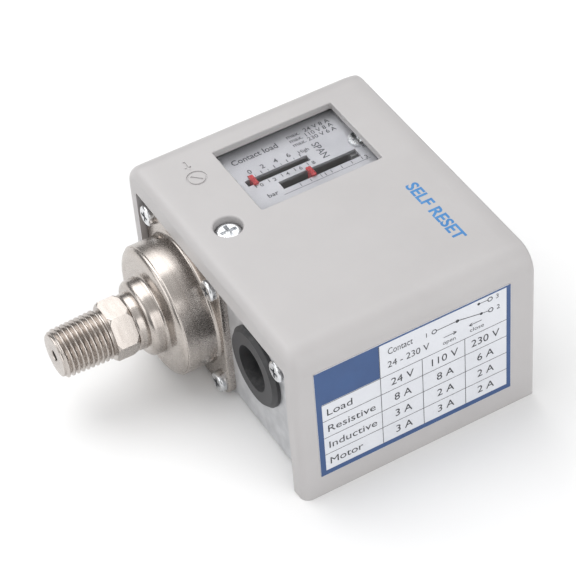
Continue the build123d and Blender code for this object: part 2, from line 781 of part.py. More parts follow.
with BuildPart() as ground_screw:
    with BuildSketch(Plane.XZ.offset(panel_y + ground_washer_thickness)):
        with Locations((ground_x, ground_z)):
            Circle(small_head_radius)
    extrude(amount=small_head_height)
    fillet(ground_screw.edges().group_by(Axis.Y)[0], 0.45 * small_head_height)
    with BuildSketch(Plane.XZ.offset(panel_y + ground_washer_thickness)):
        with Locations((ground_x, ground_z)):
            Circle(small_screw_radius)
    extrude(amount=-ground_washer_thickness - sheet - screw_tip_length)
    with BuildSketch(Plane.XZ.offset(panel_y + ground_washer_thickness + small_head_height)):
        with Locations((ground_x, ground_z)):
            Rectangle(recess_span, recess_width)
            Rectangle(recess_width, recess_span)
    extrude(amount=-recess_depth, mode=Mode.SUBTRACT)
ground_screw.part.label = "ground_screw"
export_step(ground_screw.part, "parts/ground_screw.step")


# ================= lever =================

with BuildPart() as lever_bracket:
    # foot on the back plate and two ears that carry the pivot pin
    with BuildSketch(Plane.XY.offset(sheet)):
        with Locations((bellows_x, bracket_y)):
            Rectangle(2 * bracket_half_width, bracket_length)
    extrude(amount=ear_thickness)
    for side in (-1, 1):
        ear_x = bellows_x + side * (bracket_half_width - ear_thickness / 2)
        with BuildSketch(Plane.YZ.offset(ear_x - ear_thickness / 2)):
            with Locations((pivot_y, pivot_z)):
                Circle(bracket_ear_radius)
            with Locations((pivot_y, sheet + (pivot_z - sheet) / 2)):
                Rectangle(2 * bracket_ear_radius, pivot_z - sheet)
            with Locations((pivot_y, pivot_z)):
                Circle(pin_radius, mode=Mode.SUBTRACT)
        extrude(amount=ear_thickness)
    with BuildSketch(Plane.XY.offset(sheet)):
        with Locations(*bracket_screw_places):
            Circle(small_screw_radius + screw_fit)
    extrude(amount=ear_thickness, mode=Mode.SUBTRACT)
lever_bracket.part.label = "lever_bracket"
export_step(lever_bracket.part, "parts/lever_bracket.step")

with BuildPart() as bracket_screws:
    with BuildSketch(Plane.XY.offset(sheet + ear_thickness)):
        with Locations(*bracket_screw_places):
            Circle(small_head_radius)
    extrude(amount=small_head_height)
    fillet(bracket_screws.edges().group_by(Axis.Z)[-1], 0.45 * small_head_height)
    with BuildSketch(Plane.XY.offset(sheet + ear_thickness)):
        with Locations(*bracket_screw_places):
            Circle(small_screw_radius)
    extrude(amount=-ear_thickness - sheet)
    with BuildSketch(Plane.XY.offset(sheet + ear_thickness + small_head_height)):
        with Locations(*bracket_screw_places):
            Rectangle(recess_span, recess_width)
            Rectangle(recess_width, recess_span)
    extrude(amount=-recess_depth, mode=Mode.SUBTRACT)
bracket_screws.part.label = "bracket_screws"
export_step(bracket_screws.part, "parts/bracket_screws.step")

with BuildPart() as pivot_pin:
    with BuildSketch(Plane.YZ.offset(bellows_x - bracket_half_width)):
        with Locations((pivot_y, pivot_z)):
            Circle(pin_radius)
    extrude(amount=2 * bracket_half_width)
pivot_pin.part.label = "pivot_pin"
export_step(pivot_pin.part, "parts/pivot_pin.step")

with BuildPart() as main_lever:
    # flat blade across the pressure element with an arm that reaches the switch
    with BuildSketch(Plane.XZ.offset(-lever_face)) as blade:
        with Locations((bellows_x, (lever_low + lever_top) / 2)):
            Rectangle(2 * blade_half_width, lever_top - lever_low)
        with Locations(((bellows_x + lever_arm_end) / 2, (lever_arm_low + lever_top) / 2)):
            Rectangle(lever_arm_end - bellows_x, lever_top - lever_arm_low)
        fillet(blade.vertices().group_by(Axis.Y)[-1], lever_corner)
    extrude(amount=-lever_thickness)
    for side in (-1, 1):
        cheek_x = bellows_x + side * (lever_half_width - ear_thickness / 2)
        with BuildSketch(Plane.YZ.offset(cheek_x - ear_thickness / 2)):
            with Locations((pivot_y, pivot_z)):
                Circle(bracket_ear_radius - lever_gap)
            with Locations(((pivot_y + lever_back) / 2, (pivot_z + lever_cheek_top) / 2)):
                Rectangle(lever_back - pivot_y, lever_cheek_top - pivot_z)
            with Locations((pivot_y, pivot_z)):
                Circle(pin_radius + pin_fit, mode=Mode.SUBTRACT)
        extrude(amount=ear_thickness)
main_lever.part.label = "main_lever"
export_step(main_lever.part, "parts/main_lever.step")


# ================= setting gear =================

def export_piece(piece, label):
    piece.label = label
    export_step(piece, "parts/" + label + ".step")


def setting_screw(x):
    # head with a slot outside the upper panel, plain drawn thread down to the spring
    with BuildPart() as screw:
        with BuildSketch(Plane.XZ.offset(-panel_y)):
            with Locations((x, setting_z)):
                Circle(setting_head_radius)
        extrude(amount=-setting_head_height)
        chamfer(screw.edges().group_by(Axis.Y)[-1], 0.15 * setting_head_height)
        with BuildSketch(Plane.XZ.offset(-panel_y)):
            with Locations((x, setting_z)):
                Circle(setting_screw_radius)
        extrude(amount=panel_y - setting_screw_end)
        chamfer(screw.edges().group_by(Axis.Y)[0], screw_tip_chamfer)
        with BuildSketch(Plane.XZ.offset(-panel_y - setting_head_height)):
            with Locations((x, setting_z)):
                Rectangle(2.2 * setting_head_radius, setting_slot_width)
        extrude(amount=setting_slot_depth, mode=Mode.SUBTRACT)
    return screw.part


def retaining_clip(x):
    # ring behind the upper panel that keeps the screw from sliding out
    with BuildPart() as clip:
        with BuildSketch(Plane.XZ.offset(-panel_inner + clip_gap)):
            with Locations((x, setting_z)):
                Circle(clip_radius)
                Circle(setting_screw_radius, mode=Mode.SUBTRACT)
        extrude(amount=clip_thickness)
    return clip.part


def spring_seat(x, spring_radius, wire):
    # turned seat on the lever with a collar that centres the spring
    with BuildPart() as seat:
        with BuildSketch(Plane.XZ.offset(-lever_back)):
            with Locations((x, setting_z)):
                Circle(spring_radius + wire)
        extrude(amount=-seat_height / 2)
        with BuildSketch(Plane.XZ.offset(-lever_back)):
            with Locations((x, setting_z)):
                Circle(spring_radius - wire / 2 - spring_fit)
        extrude(amount=-seat_height - seat_pilot)
    return seat.part


def coil_spring(x, spring_radius, wire, nut_y):
    # open coil between the seat's shoulder and the nut
    low = lever_back + seat_height / 2 + wire / 2 + spring_fit
    high = nut_y - nut_thickness / 2 - wire / 2 - spring_fit
    with BuildPart() as spring:
        with BuildLine() as coil:
            Helix(pitch=(high - low) / spring_turns, height=high - low, radius=spring_radius,
                  center=(x, low, setting_z), direction=(0, 1, 0))
        with BuildSketch(Plane(origin=coil.line @ 0, z_dir=coil.line % 0)):
            Circle(wire / 2)
        sweep()
    return spring.part


def setting_nut(x, slot_x, nut_y):
    # square nut that is kept from turning by its pointer stem
    with BuildPart() as nut:
        low_x = min(x - nut_margin, slot_x - nut_side)
        high_x = max(x + nut_margin, slot_x + nut_side)
        with BuildSketch(Plane.XZ.offset(-nut_y + nut_thickness / 2)) as outline:
            with Locations(((low_x + high_x) / 2, setting_z)):
                Rectangle(high_x - low_x, nut_height)
            fillet(outline.vertices(), nut_corner)
            with Locations((x, setting_z)):
                Circle(setting_screw_radius + pin_fit, mode=Mode.SUBTRACT)
        extrude(amount=-nut_thickness)
    return nut.part


def setting_pointer(slot_x, nut_y, reach_left, reach_right):
    # stem through the slot of the scale plate with a flat flag on top
    with BuildPart() as pointer:
        stem_low = setting_z + nut_height / 2
        with BuildSketch(Plane.XY.offset(stem_low)):
            with Locations((slot_x, nut_y)):
                Rectangle(pointer_stem, pointer_length)
        extrude(amount=scale_top + pointer_gap - stem_low)
        with BuildSketch(Plane.XY.offset(scale_top + pointer_gap)):
            with Locations((slot_x + (reach_right - reach_left) / 2, nut_y)):
                Rectangle(reach_left + reach_right, pointer_length)
        extrude(amount=pointer_thickness)
    return pointer.part


export_piece(setting_screw(range_x), "range_screw")
export_piece(setting_screw(diff_x), "diff_screw")
export_piece(retaining_clip(range_x), "range_clip")
export_piece(retaining_clip(diff_x), "diff_clip")
export_piece(spring_seat(range_x, range_spring_radius, range_wire), "range_seat")
export_piece(spring_seat(diff_x, diff_spring_radius, diff_wire), "diff_seat")
export_piece(coil_spring(range_x, range_spring_radius, range_wire, range_setting_y), "range_spring")
export_piece(coil_spring(diff_x, diff_spring_radius, diff_wire, diff_setting_y), "diff_spring")
export_piece(setting_nut(range_x, range_slot_x, range_setting_y), "range_nut")
export_piece(setting_nut(diff_x, diff_slot_x, diff_setting_y), "diff_nut")
export_piece(setting_pointer(range_slot_x, range_setting_y, pointer_width / 2, pointer_width / 2),
             "range_pointer")
export_piece(setting_pointer(diff_slot_x, diff_setting_y, pointer_width / 2, pointer_width / 2),
             "diff_pointer")

with BuildPart() as scale_plate:
    with BuildSketch(Plane.XY.offset(scale_top)):
        with Locations((window_x, (scale_low_y + scale_high_y) / 2)):
            Rectangle(scale_width, scale_high_y - scale_low_y)
        with Locations((range_slot_x, range_slot_start + range_slot_length / 2)):
            Rectangle(range_slot_width, range_slot_length, mode=Mode.SUBTRACT)
        with Locations((diff_slot_x, diff_slot_start + diff_slot_length / 2)):
            Rectangle(diff_slot_width, diff_slot_length, mode=Mode.SUBTRACT)
        with Locations((window_x, scale_screw_y)):
            Circle(small_screw_radius + screw_fit, mode=Mode.SUBTRACT)
    extrude(amount=-scale_thickness)
    # raised foot that stands on the chassis tab
    with BuildSketch(Plane.XY.offset(panel_top)):
        with Locations((window_x, scale_high_y - scale_foot / 2)):
            Rectangle(scale_tab_width, scale_foot)
        with Locations((window_x, scale_screw_y)):
            Circle(small_screw_radius + screw_fit, mode=Mode.SUBTRACT)
    extrude(amount=scale_top - scale_thickness - panel_top)
scale_plate.part.label = "scale_plate"
export_step(scale_plate.part, "parts/scale_plate.step")

with BuildPart() as scale_screw:
    with BuildSketch(Plane.XY.offset(scale_top)):
        with Locations((window_x, scale_screw_y)):
            Circle(scale_head_radius)
    extrude(amount=scale_head_height)
    with BuildSketch(Plane.XY.offset(scale_top)):
        with Locations((window_x, scale_screw_y)):
            Circle(small_screw_radius)
    extrude(amount=panel_top - 2 * sheet - scale_top)
    with BuildSketch(Plane.XY.offset(scale_top + scale_head_height)):
        with Locations((window_x, scale_screw_y)):
            Rectangle(1.2 * scale_head_radius, scale_recess_width)
            Rectangle(scale_recess_width, 1.2 * scale_head_radius)
    extrude(amount=-0.6 * scale_head_height, mode=Mode.SUBTRACT)
scale_screw.part.label = "scale_screw"
export_step(scale_screw.part, "parts/scale_screw.step")


# ================= snap switch and terminals =================

def foot_screws(x, y, pitch):
    # pair of screws that hold a moulded foot to the back plate
    with BuildPart() as screws:
        with BuildSketch(Plane.XY.offset(sheet + foot_thickness)):
            with Locations((x, y)):
                with GridLocations(0, pitch, 1, 2):
                    Circle(small_head_radius - foot_head_trim)
        extrude(amount=small_head_height)
        fillet(screws.edges().group_by(Axis.Z)[-1], 0.45 * small_head_height)
        with BuildSketch(Plane.XY.offset(sheet + foot_thickness)):
            with Locations((x, y)):
                with GridLocations(0, pitch, 1, 2):
                    Circle(small_screw_radius)
        extrude(amount=-foot_thickness - sheet)
        with BuildSketch(Plane.XY.offset(sheet + foot_thickness + small_head_height)):
            with Locations((x, y)):
                with GridLocations(0, pitch, 1, 2):
                    Rectangle(recess_span, recess_width)
                    Rectangle(recess_width, recess_span)
        extrude(amount=-recess_depth, mode=Mode.SUBTRACT)
    return screws.part


with BuildPart() as switch_body:
    with BuildSketch(Plane.XY.offset(switch_low_z)):
        with Locations((switch_x, switch_start_y + switch_length_y / 2)):
            Rectangle(switch_width, switch_length_y)
    extrude(amount=switch_length_z)
    # web and screwed foot on the back plate
    with BuildSketch(Plane.XY.offset(sheet)):
        with Locations((switch_x, switch_start_y + switch_length_y / 2)):
            Rectangle(switch_web_width, switch_length_y - 2 * switch_web_inset)
    extrude(amount=switch_low_z - sheet)
    with BuildSketch(Plane.XY.offset(sheet)):
        with Locations((switch_x, switch_start_y + switch_length_y / 2)):
            Rectangle(switch_width, switch_length_y + 2 * foot_ear)
            with GridLocations(0, switch_length_y + foot_ear, 1, 2):
                Circle(small_screw_radius + screw_fit, mode=Mode.SUBTRACT)
    extrude(amount=foot_thickness)
    with BuildSketch(Plane.XZ.offset(-switch_start_y)):
        with Locations((switch_x, plunger_z)):
            Circle(plunger_radius + plunger_fit)
    extrude(amount=-plunger_depth - plunger_travel, mode=Mode.SUBTRACT)
    fillet(switch_body.edges().filter_by(Axis.X).group_by(Axis.Z)[-1], switch_corner)
switch_body.part.label = "switch_body"
export_step(switch_body.part, "parts/switch_body.step")

export_piece(foot_screws(switch_x, switch_start_y + switch_length_y / 2, switch_length_y + foot_ear),
             "switch_screws")

with BuildPart() as switch_plunger:
    with BuildSketch(Plane.XZ.offset(-lever_back - plunger_gap)):
        with Locations((switch_x, plunger_z)):
            Circle(plunger_radius)
    extrude(amount=lever_back + plunger_gap - switch_start_y - plunger_depth)
    fillet(switch_plunger.edges().group_by(Axis.Y)[0], 0.35 * plunger_radius)
switch_plunger.part.label = "switch_plunger"
export_step(switch_plunger.part, "parts/switch_plunger.step")

with BuildPart() as terminal_block:
    with BuildSketch(Plane.XY.offset(sheet)):
        with Locations((block_x, block_start_y + block_length / 2)):
            Rectangle(block_width, block_length)
    extrude(amount=block_height)
    with BuildSketch(Plane.XY.offset(sheet)):
        with Locations((block_x, block_start_y + block_length / 2)):
            Rectangle(block_foot_width, block_length + 2 * foot_ear)
            with GridLocations(0, block_length + foot_ear, 1, 2):
                Circle(small_screw_radius + screw_fit, mode=Mode.SUBTRACT)
    extrude(amount=foot_thickness)
    # one open well for each terminal, with barriers between them
    with BuildSketch(Plane.XY.offset(sheet + block_height)):
        with Locations((block_x + terminal_wall, block_start_y + block_length / 2)):
            with GridLocations(0, terminal_pitch, 1, 3):
                Rectangle(block_width, terminal_pitch - terminal_wall)
    extrude(amount=-terminal_well, mode=Mode.SUBTRACT)
    with BuildSketch(Plane.XY.offset(terminal_floor)):
        with Locations((block_x, block_start_y + block_length / 2)):
            with GridLocations(0, terminal_pitch, 1, 3):
                Circle(terminal_screw_radius + screw_fit)
    extrude(amount=-terminal_screw_depth, mode=Mode.SUBTRACT)
terminal_block.part.label = "terminal_block"
export_step(terminal_block.part, "parts/terminal_block.step")

export_piece(foot_screws(block_x, block_start_y + block_length / 2, block_length + foot_ear),
             "block_screws")

with BuildPart() as terminal_plates:
    with BuildSketch(Plane.XY.offset(terminal_floor)):
        with Locations((block_x + terminal_wall / 2, block_start_y + block_length / 2)):
            with GridLocations(0, terminal_pitch, 1, 3):
                Rectangle(block_width - 4 * terminal_wall, terminal_pitch - 2 * terminal_wall)
        with Locations((block_x, block_start_y + block_length / 2)):
            with GridLocations(0, terminal_pitch, 1, 3):
                Circle(terminal_screw_radius + screw_fit, mode=Mode.SUBTRACT)
    extrude(amount=terminal_plate)
terminal_plates.part.label = "terminal_plates"
export_step(terminal_plates.part, "parts/terminal_plates.step")

with BuildPart() as terminal_screws:
    with BuildSketch(Plane.XY.offset(terminal_floor + terminal_plate)):
        with Locations((block_x, block_start_y + block_length / 2)):
            with GridLocations(0, terminal_pitch, 1, 3):
                Circle(terminal_head_radius)
    extrude(amount=terminal_head_height)
    fillet(terminal_screws.edges().group_by(Axis.Z)[-1], 0.35 * terminal_head_height)
    with BuildSketch(Plane.XY.offset(terminal_floor + terminal_plate)):
        with Locations((block_x, block_start_y + block_length / 2)):
            with GridLocations(0, terminal_pitch, 1, 3):
                Circle(terminal_screw_radius)
    extrude(amount=-terminal_plate - terminal_screw_depth)
    with BuildSketch(Plane.XY.offset(terminal_floor + terminal_plate + terminal_head_height)):
        with Locations((block_x, block_start_y + block_length / 2)):
            with GridLocations(0, terminal_pitch, 1, 3):
                Rectangle(1.2 * terminal_head_radius, recess_width)
                Rectangle(recess_width, 1.2 * terminal_head_radius)
    extrude(amount=-recess_depth, mode=Mode.SUBTRACT)
terminal_screws.part.label = "terminal_screws"
export_step(terminal_screws.part, "parts/terminal_screws.step")
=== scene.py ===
import bmesh
import bpy
import math
import numpy as np
from mathutils import Matrix, Vector


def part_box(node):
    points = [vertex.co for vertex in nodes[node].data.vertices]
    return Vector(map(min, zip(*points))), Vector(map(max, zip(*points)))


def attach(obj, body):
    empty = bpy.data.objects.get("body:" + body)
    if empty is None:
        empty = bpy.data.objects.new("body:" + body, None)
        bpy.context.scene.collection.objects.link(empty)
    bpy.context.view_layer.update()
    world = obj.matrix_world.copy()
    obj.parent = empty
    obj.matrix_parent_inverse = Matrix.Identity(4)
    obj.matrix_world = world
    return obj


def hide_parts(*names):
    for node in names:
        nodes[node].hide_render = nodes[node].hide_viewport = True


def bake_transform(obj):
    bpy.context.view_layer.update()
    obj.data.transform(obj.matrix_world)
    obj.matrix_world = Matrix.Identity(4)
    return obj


# Pressure switch: an off-white plastic cover with a window over the scale,
# a nickel bellows housing with its threaded connector at the front panel,
# a cable grommet, an earth screw, and the works inside.

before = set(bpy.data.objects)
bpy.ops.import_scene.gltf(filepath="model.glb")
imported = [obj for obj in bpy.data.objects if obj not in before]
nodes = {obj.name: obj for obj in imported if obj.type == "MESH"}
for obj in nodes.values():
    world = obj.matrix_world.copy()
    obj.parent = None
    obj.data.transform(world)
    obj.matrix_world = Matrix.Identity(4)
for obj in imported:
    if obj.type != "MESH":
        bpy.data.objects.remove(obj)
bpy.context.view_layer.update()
mm = 0.001


def makePiece(name, points, faces, material, body, sharp=None):
    # points in metres in the switch's own frame, so the object stays at the origin
    mesh = bpy.data.meshes.new(name)
    mesh.from_pydata([tuple(p) for p in np.asarray(points, float).tolist()], [], faces)
    mesh.validate()
    if sharp is not None:
        mesh.polygons.foreach_set("use_smooth", [True] * len(mesh.polygons))
        mesh.set_sharp_from_angle(angle=math.radians(sharp))
    mesh.materials.append(material)
    mesh.update()
    piece = bpy.data.objects.new(name, mesh)
    bpy.context.scene.collection.objects.link(piece)
    if body:
        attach(piece, body)
    return piece


def closePoles(piece):
    # points that share one place become one point, so that a turned shape is closed at its axis
    shape = bmesh.new()
    shape.from_mesh(piece.data)
    bmesh.ops.remove_doubles(shape, verts=shape.verts, dist=1e-7)
    bmesh.ops.dissolve_degenerate(shape, edges=shape.edges, dist=1e-8)
    bmesh.ops.recalc_face_normals(shape, faces=shape.faces)
    shape.to_mesh(piece.data)
    shape.free()
    piece.data.update()


def gridFaces(rows, columns):
    # quads between neighbouring rings of a grid, where a row is one ring of points
    r = np.arange(rows - 1)[:, None]
    c = np.arange(columns)[None, :]
    a = r * columns + c
    b = r * columns + (c + 1) % columns
    quads = np.stack([a, b, b + columns, a + columns], axis=-1)
    return quads.reshape(-1, 4).tolist()


def newGroup(name, inputs, outputs):
    # an empty shader group with named sockets: inputs are (label, kind, value), outputs (label, kind)
    group = bpy.data.node_groups.new(name, "ShaderNodeTree")
    for label, kind, value in inputs:
        socket = group.interface.new_socket(name=label, in_out="INPUT", socket_type=kind)
        if value is not None:
            socket.default_value = value
    for label, kind in outputs:
        group.interface.new_socket(name=label, in_out="OUTPUT", socket_type=kind)
    start = group.nodes.new("NodeGroupInput")
    end = group.nodes.new("NodeGroupOutput")
    return group, start, end


def addMath(tree, operation, first, second=None, third=None):
    # one sum on up to three values, each a plain number or another node's output
    node = tree.nodes.new("ShaderNodeMath")
    node.operation = operation
    for index, value in enumerate((first, second, third)):
        if value is None:
            continue
        if isinstance(value, (int, float)):
            node.inputs[index].default_value = value
        else:
            tree.links.new(value, node.inputs[index])
    return node.outputs[0]


def addNoise(tree, vector, scale, detail=2.0, roughness=0.5):
    # noise at that many cells to the metre
    noise = tree.nodes.new("ShaderNodeTexNoise")
    noise.inputs["Detail"].default_value = detail
    noise.inputs["Roughness"].default_value = roughness
    if isinstance(scale, (int, float)):
        noise.inputs["Scale"].default_value = scale
    else:
        tree.links.new(scale, noise.inputs["Scale"])
    tree.links.new(vector, noise.inputs["Vector"])
    return noise.outputs["Fac"]


def addRange(tree, value, low, high, toLow, toHigh):
    # stretches low to high onto toLow to toHigh, and holds the ends
    node = tree.nodes.new("ShaderNodeMapRange")
    node.inputs["From Min"].default_value = low
    node.inputs["From Max"].default_value = high
    for label, target in (("To Min", toLow), ("To Max", toHigh)):
        if isinstance(target, (int, float)):
            node.inputs[label].default_value = target
        else:
            tree.links.new(target, node.inputs[label])
    tree.links.new(value, node.inputs["Value"])
    return node.outputs["Result"]


def buildGrainGroup():
    # two sizes of noise added together: height for a bump and a slow cloud for colour
    group, start, end = newGroup(
        "surfaceGrain",
        [("Vector", "NodeSocketVector", None), ("Grain Scale", "NodeSocketFloat", 3000.0),
         ("Cloud Scale", "NodeSocketFloat", 60.0)],
        [("Height", "NodeSocketFloat"), ("Cloud", "NodeSocketFloat")])
    fine = addNoise(group, start.outputs["Vector"], start.outputs["Grain Scale"], 3.0, 0.6)
    cloud = addNoise(group, start.outputs["Vector"], start.outputs["Cloud Scale"], 4.0, 0.55)
    group.links.new(fine, end.inputs["Height"])
    group.links.new(cloud, end.inputs["Cloud"])
    return group


def buildTurnedGroup():
    # distance from a lathe axis along Y, and the place along it, stretched into fine rings
    group, start, end = newGroup(
        "turnedRings",
        [("Vector", "NodeSocketVector", None), ("Axis X", "NodeSocketFloat", 0.0),
         ("Axis Z", "NodeSocketFloat", 0.0), ("Ring Scale", "NodeSocketFloat", 4000.0)],
        [("Height", "NodeSocketFloat"), ("Streak", "NodeSocketFloat")])
    split = group.nodes.new("ShaderNodeSeparateXYZ")
    group.links.new(start.outputs["Vector"], split.inputs[0])
    acrossX = addMath(group, "SUBTRACT", split.outputs["X"], start.outputs["Axis X"])
    acrossZ = addMath(group, "SUBTRACT", split.outputs["Z"], start.outputs["Axis Z"])
    squareSum = addMath(group, "MULTIPLY_ADD", acrossX, acrossX,
                        addMath(group, "MULTIPLY", acrossZ, acrossZ))
    radius = addMath(group, "SQRT", squareSum)
    join = group.nodes.new("ShaderNodeCombineXYZ")
    group.links.new(radius, join.inputs["X"])
    group.links.new(split.outputs["Y"], join.inputs["Y"])
    rings = addNoise(group, join.outputs[0], start.outputs["Ring Scale"], 2.0, 0.7)
    wideRings = addMath(group, "MULTIPLY", start.outputs["Ring Scale"], 0.12)
    slow = addNoise(group, join.outputs[0], wideRings)
    group.links.new(rings, end.inputs["Height"])
    group.links.new(slow, end.inputs["Streak"])
    return group


def buildUpFacingGroup():
    # a mask for faces that look up, broken up by noise
    group, start, end = newGroup(
        "upFacingPatches",
        [("Vector", "NodeSocketVector", None), ("Patch Scale", "NodeSocketFloat", 150.0)],
        [("Mask", "NodeSocketFloat")])
    geometry = group.nodes.new("ShaderNodeNewGeometry")
    split = group.nodes.new("ShaderNodeSeparateXYZ")
    group.links.new(geometry.outputs["Normal"], split.inputs[0])
    up = addRange(group, split.outputs["Z"], 0.2, 1.0, 0.0, 1.0)
    patches = addRange(group, addNoise(group, start.outputs["Vector"],
                                       start.outputs["Patch Scale"], 5.0, 0.7), 0.45, 0.75, 0.0, 1.0)
    group.links.new(addMath(group, "MULTIPLY", up, patches), end.inputs["Mask"])
    return group


grainGroup = buildGrainGroup()
turnedGroup = buildTurnedGroup()
upFacingGroup = buildUpFacingGroup()


def placeGroup(tree, group, vector, values):
    # one use of a shared group, with this material's own values
    node = tree.nodes.new("ShaderNodeGroup")
    node.node_tree = group
    tree.links.new(vector, node.inputs["Vector"])
    for label, value in values.items():
        node.inputs[label].default_value = value
    return node


def mixColour(tree, factor, first, second):
    # from the first colour to the second, by the factor
    mix = tree.nodes.new("ShaderNodeMix")
    mix.data_type = "RGBA"
    tree.links.new(factor, mix.inputs["Factor"])
    for index, colour in ((6, first), (7, second)):
        if isinstance(colour, tuple):
            mix.inputs[index].default_value = (*colour, 1.0)
        else:
            tree.links.new(colour, mix.inputs[index])
    return mix.outputs[2]


def startMaterial(name, metallic=0.0, constants=None):
    # a material with its shader's constant sockets set, and the piece's own coordinates
    material = bpy.data.materials.new(name)
    material.use_nodes = True
    tree = material.node_tree
    shader = tree.nodes["Principled BSDF"]
    shader.inputs["Metallic"].default_value = metallic
    for label, value in (constants or {}).items():
        shader.inputs[label].default_value = value
    place = tree.nodes.new("ShaderNodeTexCoord").outputs["Object"]
    return material, tree, shader, place


def addBump(tree, shader, height, strength, distance):
    # a height turned into a normal, distance in metres
    bump = tree.nodes.new("ShaderNodeBump")
    bump.inputs["Strength"].default_value = strength
    bump.inputs["Distance"].default_value = distance
    tree.links.new(height, bump.inputs["Height"])
    tree.links.new(bump.outputs["Normal"], shader.inputs["Normal"])


def grainedMaterial(name, look):
    # colour drifts between two tones with a slow cloud, fine grain gives bump and roughness
    material, tree, shader, place = startMaterial(name, look.get("metallic", 0.0), look.get("constants"))
    grain = placeGroup(tree, grainGroup, place,
                       {"Grain Scale": look["grainScale"], "Cloud Scale": look["cloudScale"]})
    cloud = addRange(tree, grain.outputs["Cloud"], 0.35, 0.65, 0.0, 1.0)
    colour = mixColour(tree, cloud, look["darkTone"], look["lightTone"])
    # faces that look up drift towards a lighter tone, in noise patches
    if "upFacingTone" in look:
        upFacingPatch = placeGroup(tree, upFacingGroup, place, {"Patch Scale": look.get("upFacingScale", 150.0)})
        amount = addMath(tree, "MULTIPLY", upFacingPatch.outputs["Mask"], look.get("upFacingAmount", 0.15))
        colour = mixColour(tree, amount, colour, look["upFacingTone"])
    tree.links.new(colour, shader.inputs["Base Color"])
    rough = addRange(tree, grain.outputs["Cloud"], 0.3, 0.7, look["roughLow"], look["roughHigh"])
    tree.links.new(rough, shader.inputs["Roughness"])
    addBump(tree, shader, grain.outputs["Height"], look["bump"], look["bumpDepth"] * mm)
    return material


def turnedMaterial(name, look):
    # lathe rings round an axis along Y: bump across the rings and tone that changes from ring to ring
    material, tree, shader, place = startMaterial(name, 1.0, look.get("constants"))
    rings = placeGroup(tree, turnedGroup, place,
                       {"Axis X": look["axisX"], "Axis Z": look["axisZ"], "Ring Scale": look["ringScale"]})
    grain = placeGroup(tree, grainGroup, place, {"Grain Scale": look["grainScale"], "Cloud Scale": 90.0})
    tone = addMath(tree, "MULTIPLY_ADD", rings.outputs["Streak"], 0.6,
                   addMath(tree, "MULTIPLY", grain.outputs["Cloud"], 0.4))
    colour = mixColour(tree, addRange(tree, tone, 0.38, 0.62, 0.0, 1.0), look["darkTone"], look["lightTone"])
    tree.links.new(colour, shader.inputs["Base Color"])
    rough = addRange(tree, grain.outputs["Height"], 0.3, 0.7, look["roughLow"], look["roughHigh"])
    tree.links.new(rough, shader.inputs["Roughness"])
    height = addMath(tree, "MULTIPLY_ADD", rings.outputs["Height"], look["ringShare"],
                     addMath(tree, "MULTIPLY", grain.outputs["Height"], 1.0 - look["ringShare"]))
    addBump(tree, shader, height, look["bump"], look["bumpDepth"] * mm)
    return material


print("materials")

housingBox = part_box("bellows_housing")
cupCentreX = (housingBox[0].x + housingBox[1].x) / 2
cupCentreZ = (housingBox[0].z + housingBox[1].z) / 2

coverPlastic = grainedMaterial("cover_plastic", {
    "darkTone": (0.462, 0.448, 0.448), "lightTone": (0.482, 0.468, 0.468),
    "upFacingTone": (0.56, 0.55, 0.54), "upFacingAmount": 0.08, "upFacingScale": 220.0,
    "roughLow": 0.36, "roughHigh": 0.46, "grainScale": 5200.0, "cloudScale": 45.0,
    "bump": 0.16, "bumpDepth": 0.05,
    "constants": {"Subsurface Weight": 0.0, "Specular IOR Level": 0.45}})

galvanised = grainedMaterial("galvanised_sheet", {
    "metallic": 0.55, "darkTone": (0.47, 0.475, 0.49), "lightTone": (0.60, 0.605, 0.62),
    "upFacingTone": (0.60, 0.60, 0.60), "upFacingAmount": 0.2,
    "roughLow": 0.34, "roughHigh": 0.52, "grainScale": 2600.0, "cloudScale": 260.0,
    "bump": 0.20, "bumpDepth": 0.04})

zinc = grainedMaterial("bright_zinc", {
    "metallic": 1.0, "darkTone": (0.62, 0.63, 0.65), "lightTone": (0.78, 0.79, 0.80),
    "roughLow": 0.20, "roughHigh": 0.32, "grainScale": 4200.0, "cloudScale": 400.0,
    "bump": 0.14, "bumpDepth": 0.03})

steel = grainedMaterial("spring_steel_sheet", {
    "metallic": 1.0, "darkTone": (0.40, 0.41, 0.43), "lightTone": (0.55, 0.56, 0.58),
    "roughLow": 0.28, "roughHigh": 0.42, "grainScale": 3500.0, "cloudScale": 150.0,
    "bump": 0.15, "bumpDepth": 0.03})

springWire = grainedMaterial("spring_wire", {
    "metallic": 1.0, "darkTone": (0.34, 0.35, 0.37), "lightTone": (0.50, 0.51, 0.53),
    "roughLow": 0.18, "roughHigh": 0.30, "grainScale": 5200.0, "cloudScale": 500.0,
    "bump": 0.12, "bumpDepth": 0.02})

brass = grainedMaterial("drawn_brass", {
    "metallic": 1.0, "darkTone": (0.62, 0.45, 0.21), "lightTone": (0.76, 0.58, 0.30),
    "roughLow": 0.20, "roughHigh": 0.34, "grainScale": 3800.0, "cloudScale": 220.0,
    "bump": 0.12, "bumpDepth": 0.03})

rubberBlack = grainedMaterial("rubber_black", {
    "darkTone": (0.034, 0.034, 0.036), "lightTone": (0.058, 0.058, 0.061),
    "upFacingTone": (0.20, 0.20, 0.20), "upFacingAmount": 0.35, "upFacingScale": 500.0,
    "roughLow": 0.48, "roughHigh": 0.66, "grainScale": 4200.0, "cloudScale": 120.0,
    "bump": 0.22, "bumpDepth": 0.05})

phenolic = grainedMaterial("phenolic_moulding", {
    "darkTone": (0.022, 0.020, 0.019), "lightTone": (0.040, 0.036, 0.033),
    "roughLow": 0.30, "roughHigh": 0.44, "grainScale": 3600.0, "cloudScale": 240.0,
    "bump": 0.14, "bumpDepth": 0.03})

plungerPlastic = grainedMaterial("plunger_plastic", {
    "darkTone": (0.66, 0.65, 0.60), "lightTone": (0.76, 0.75, 0.70),
    "roughLow": 0.34, "roughHigh": 0.46, "grainScale": 5200.0, "cloudScale": 300.0,
    "bump": 0.10, "bumpDepth": 0.02})

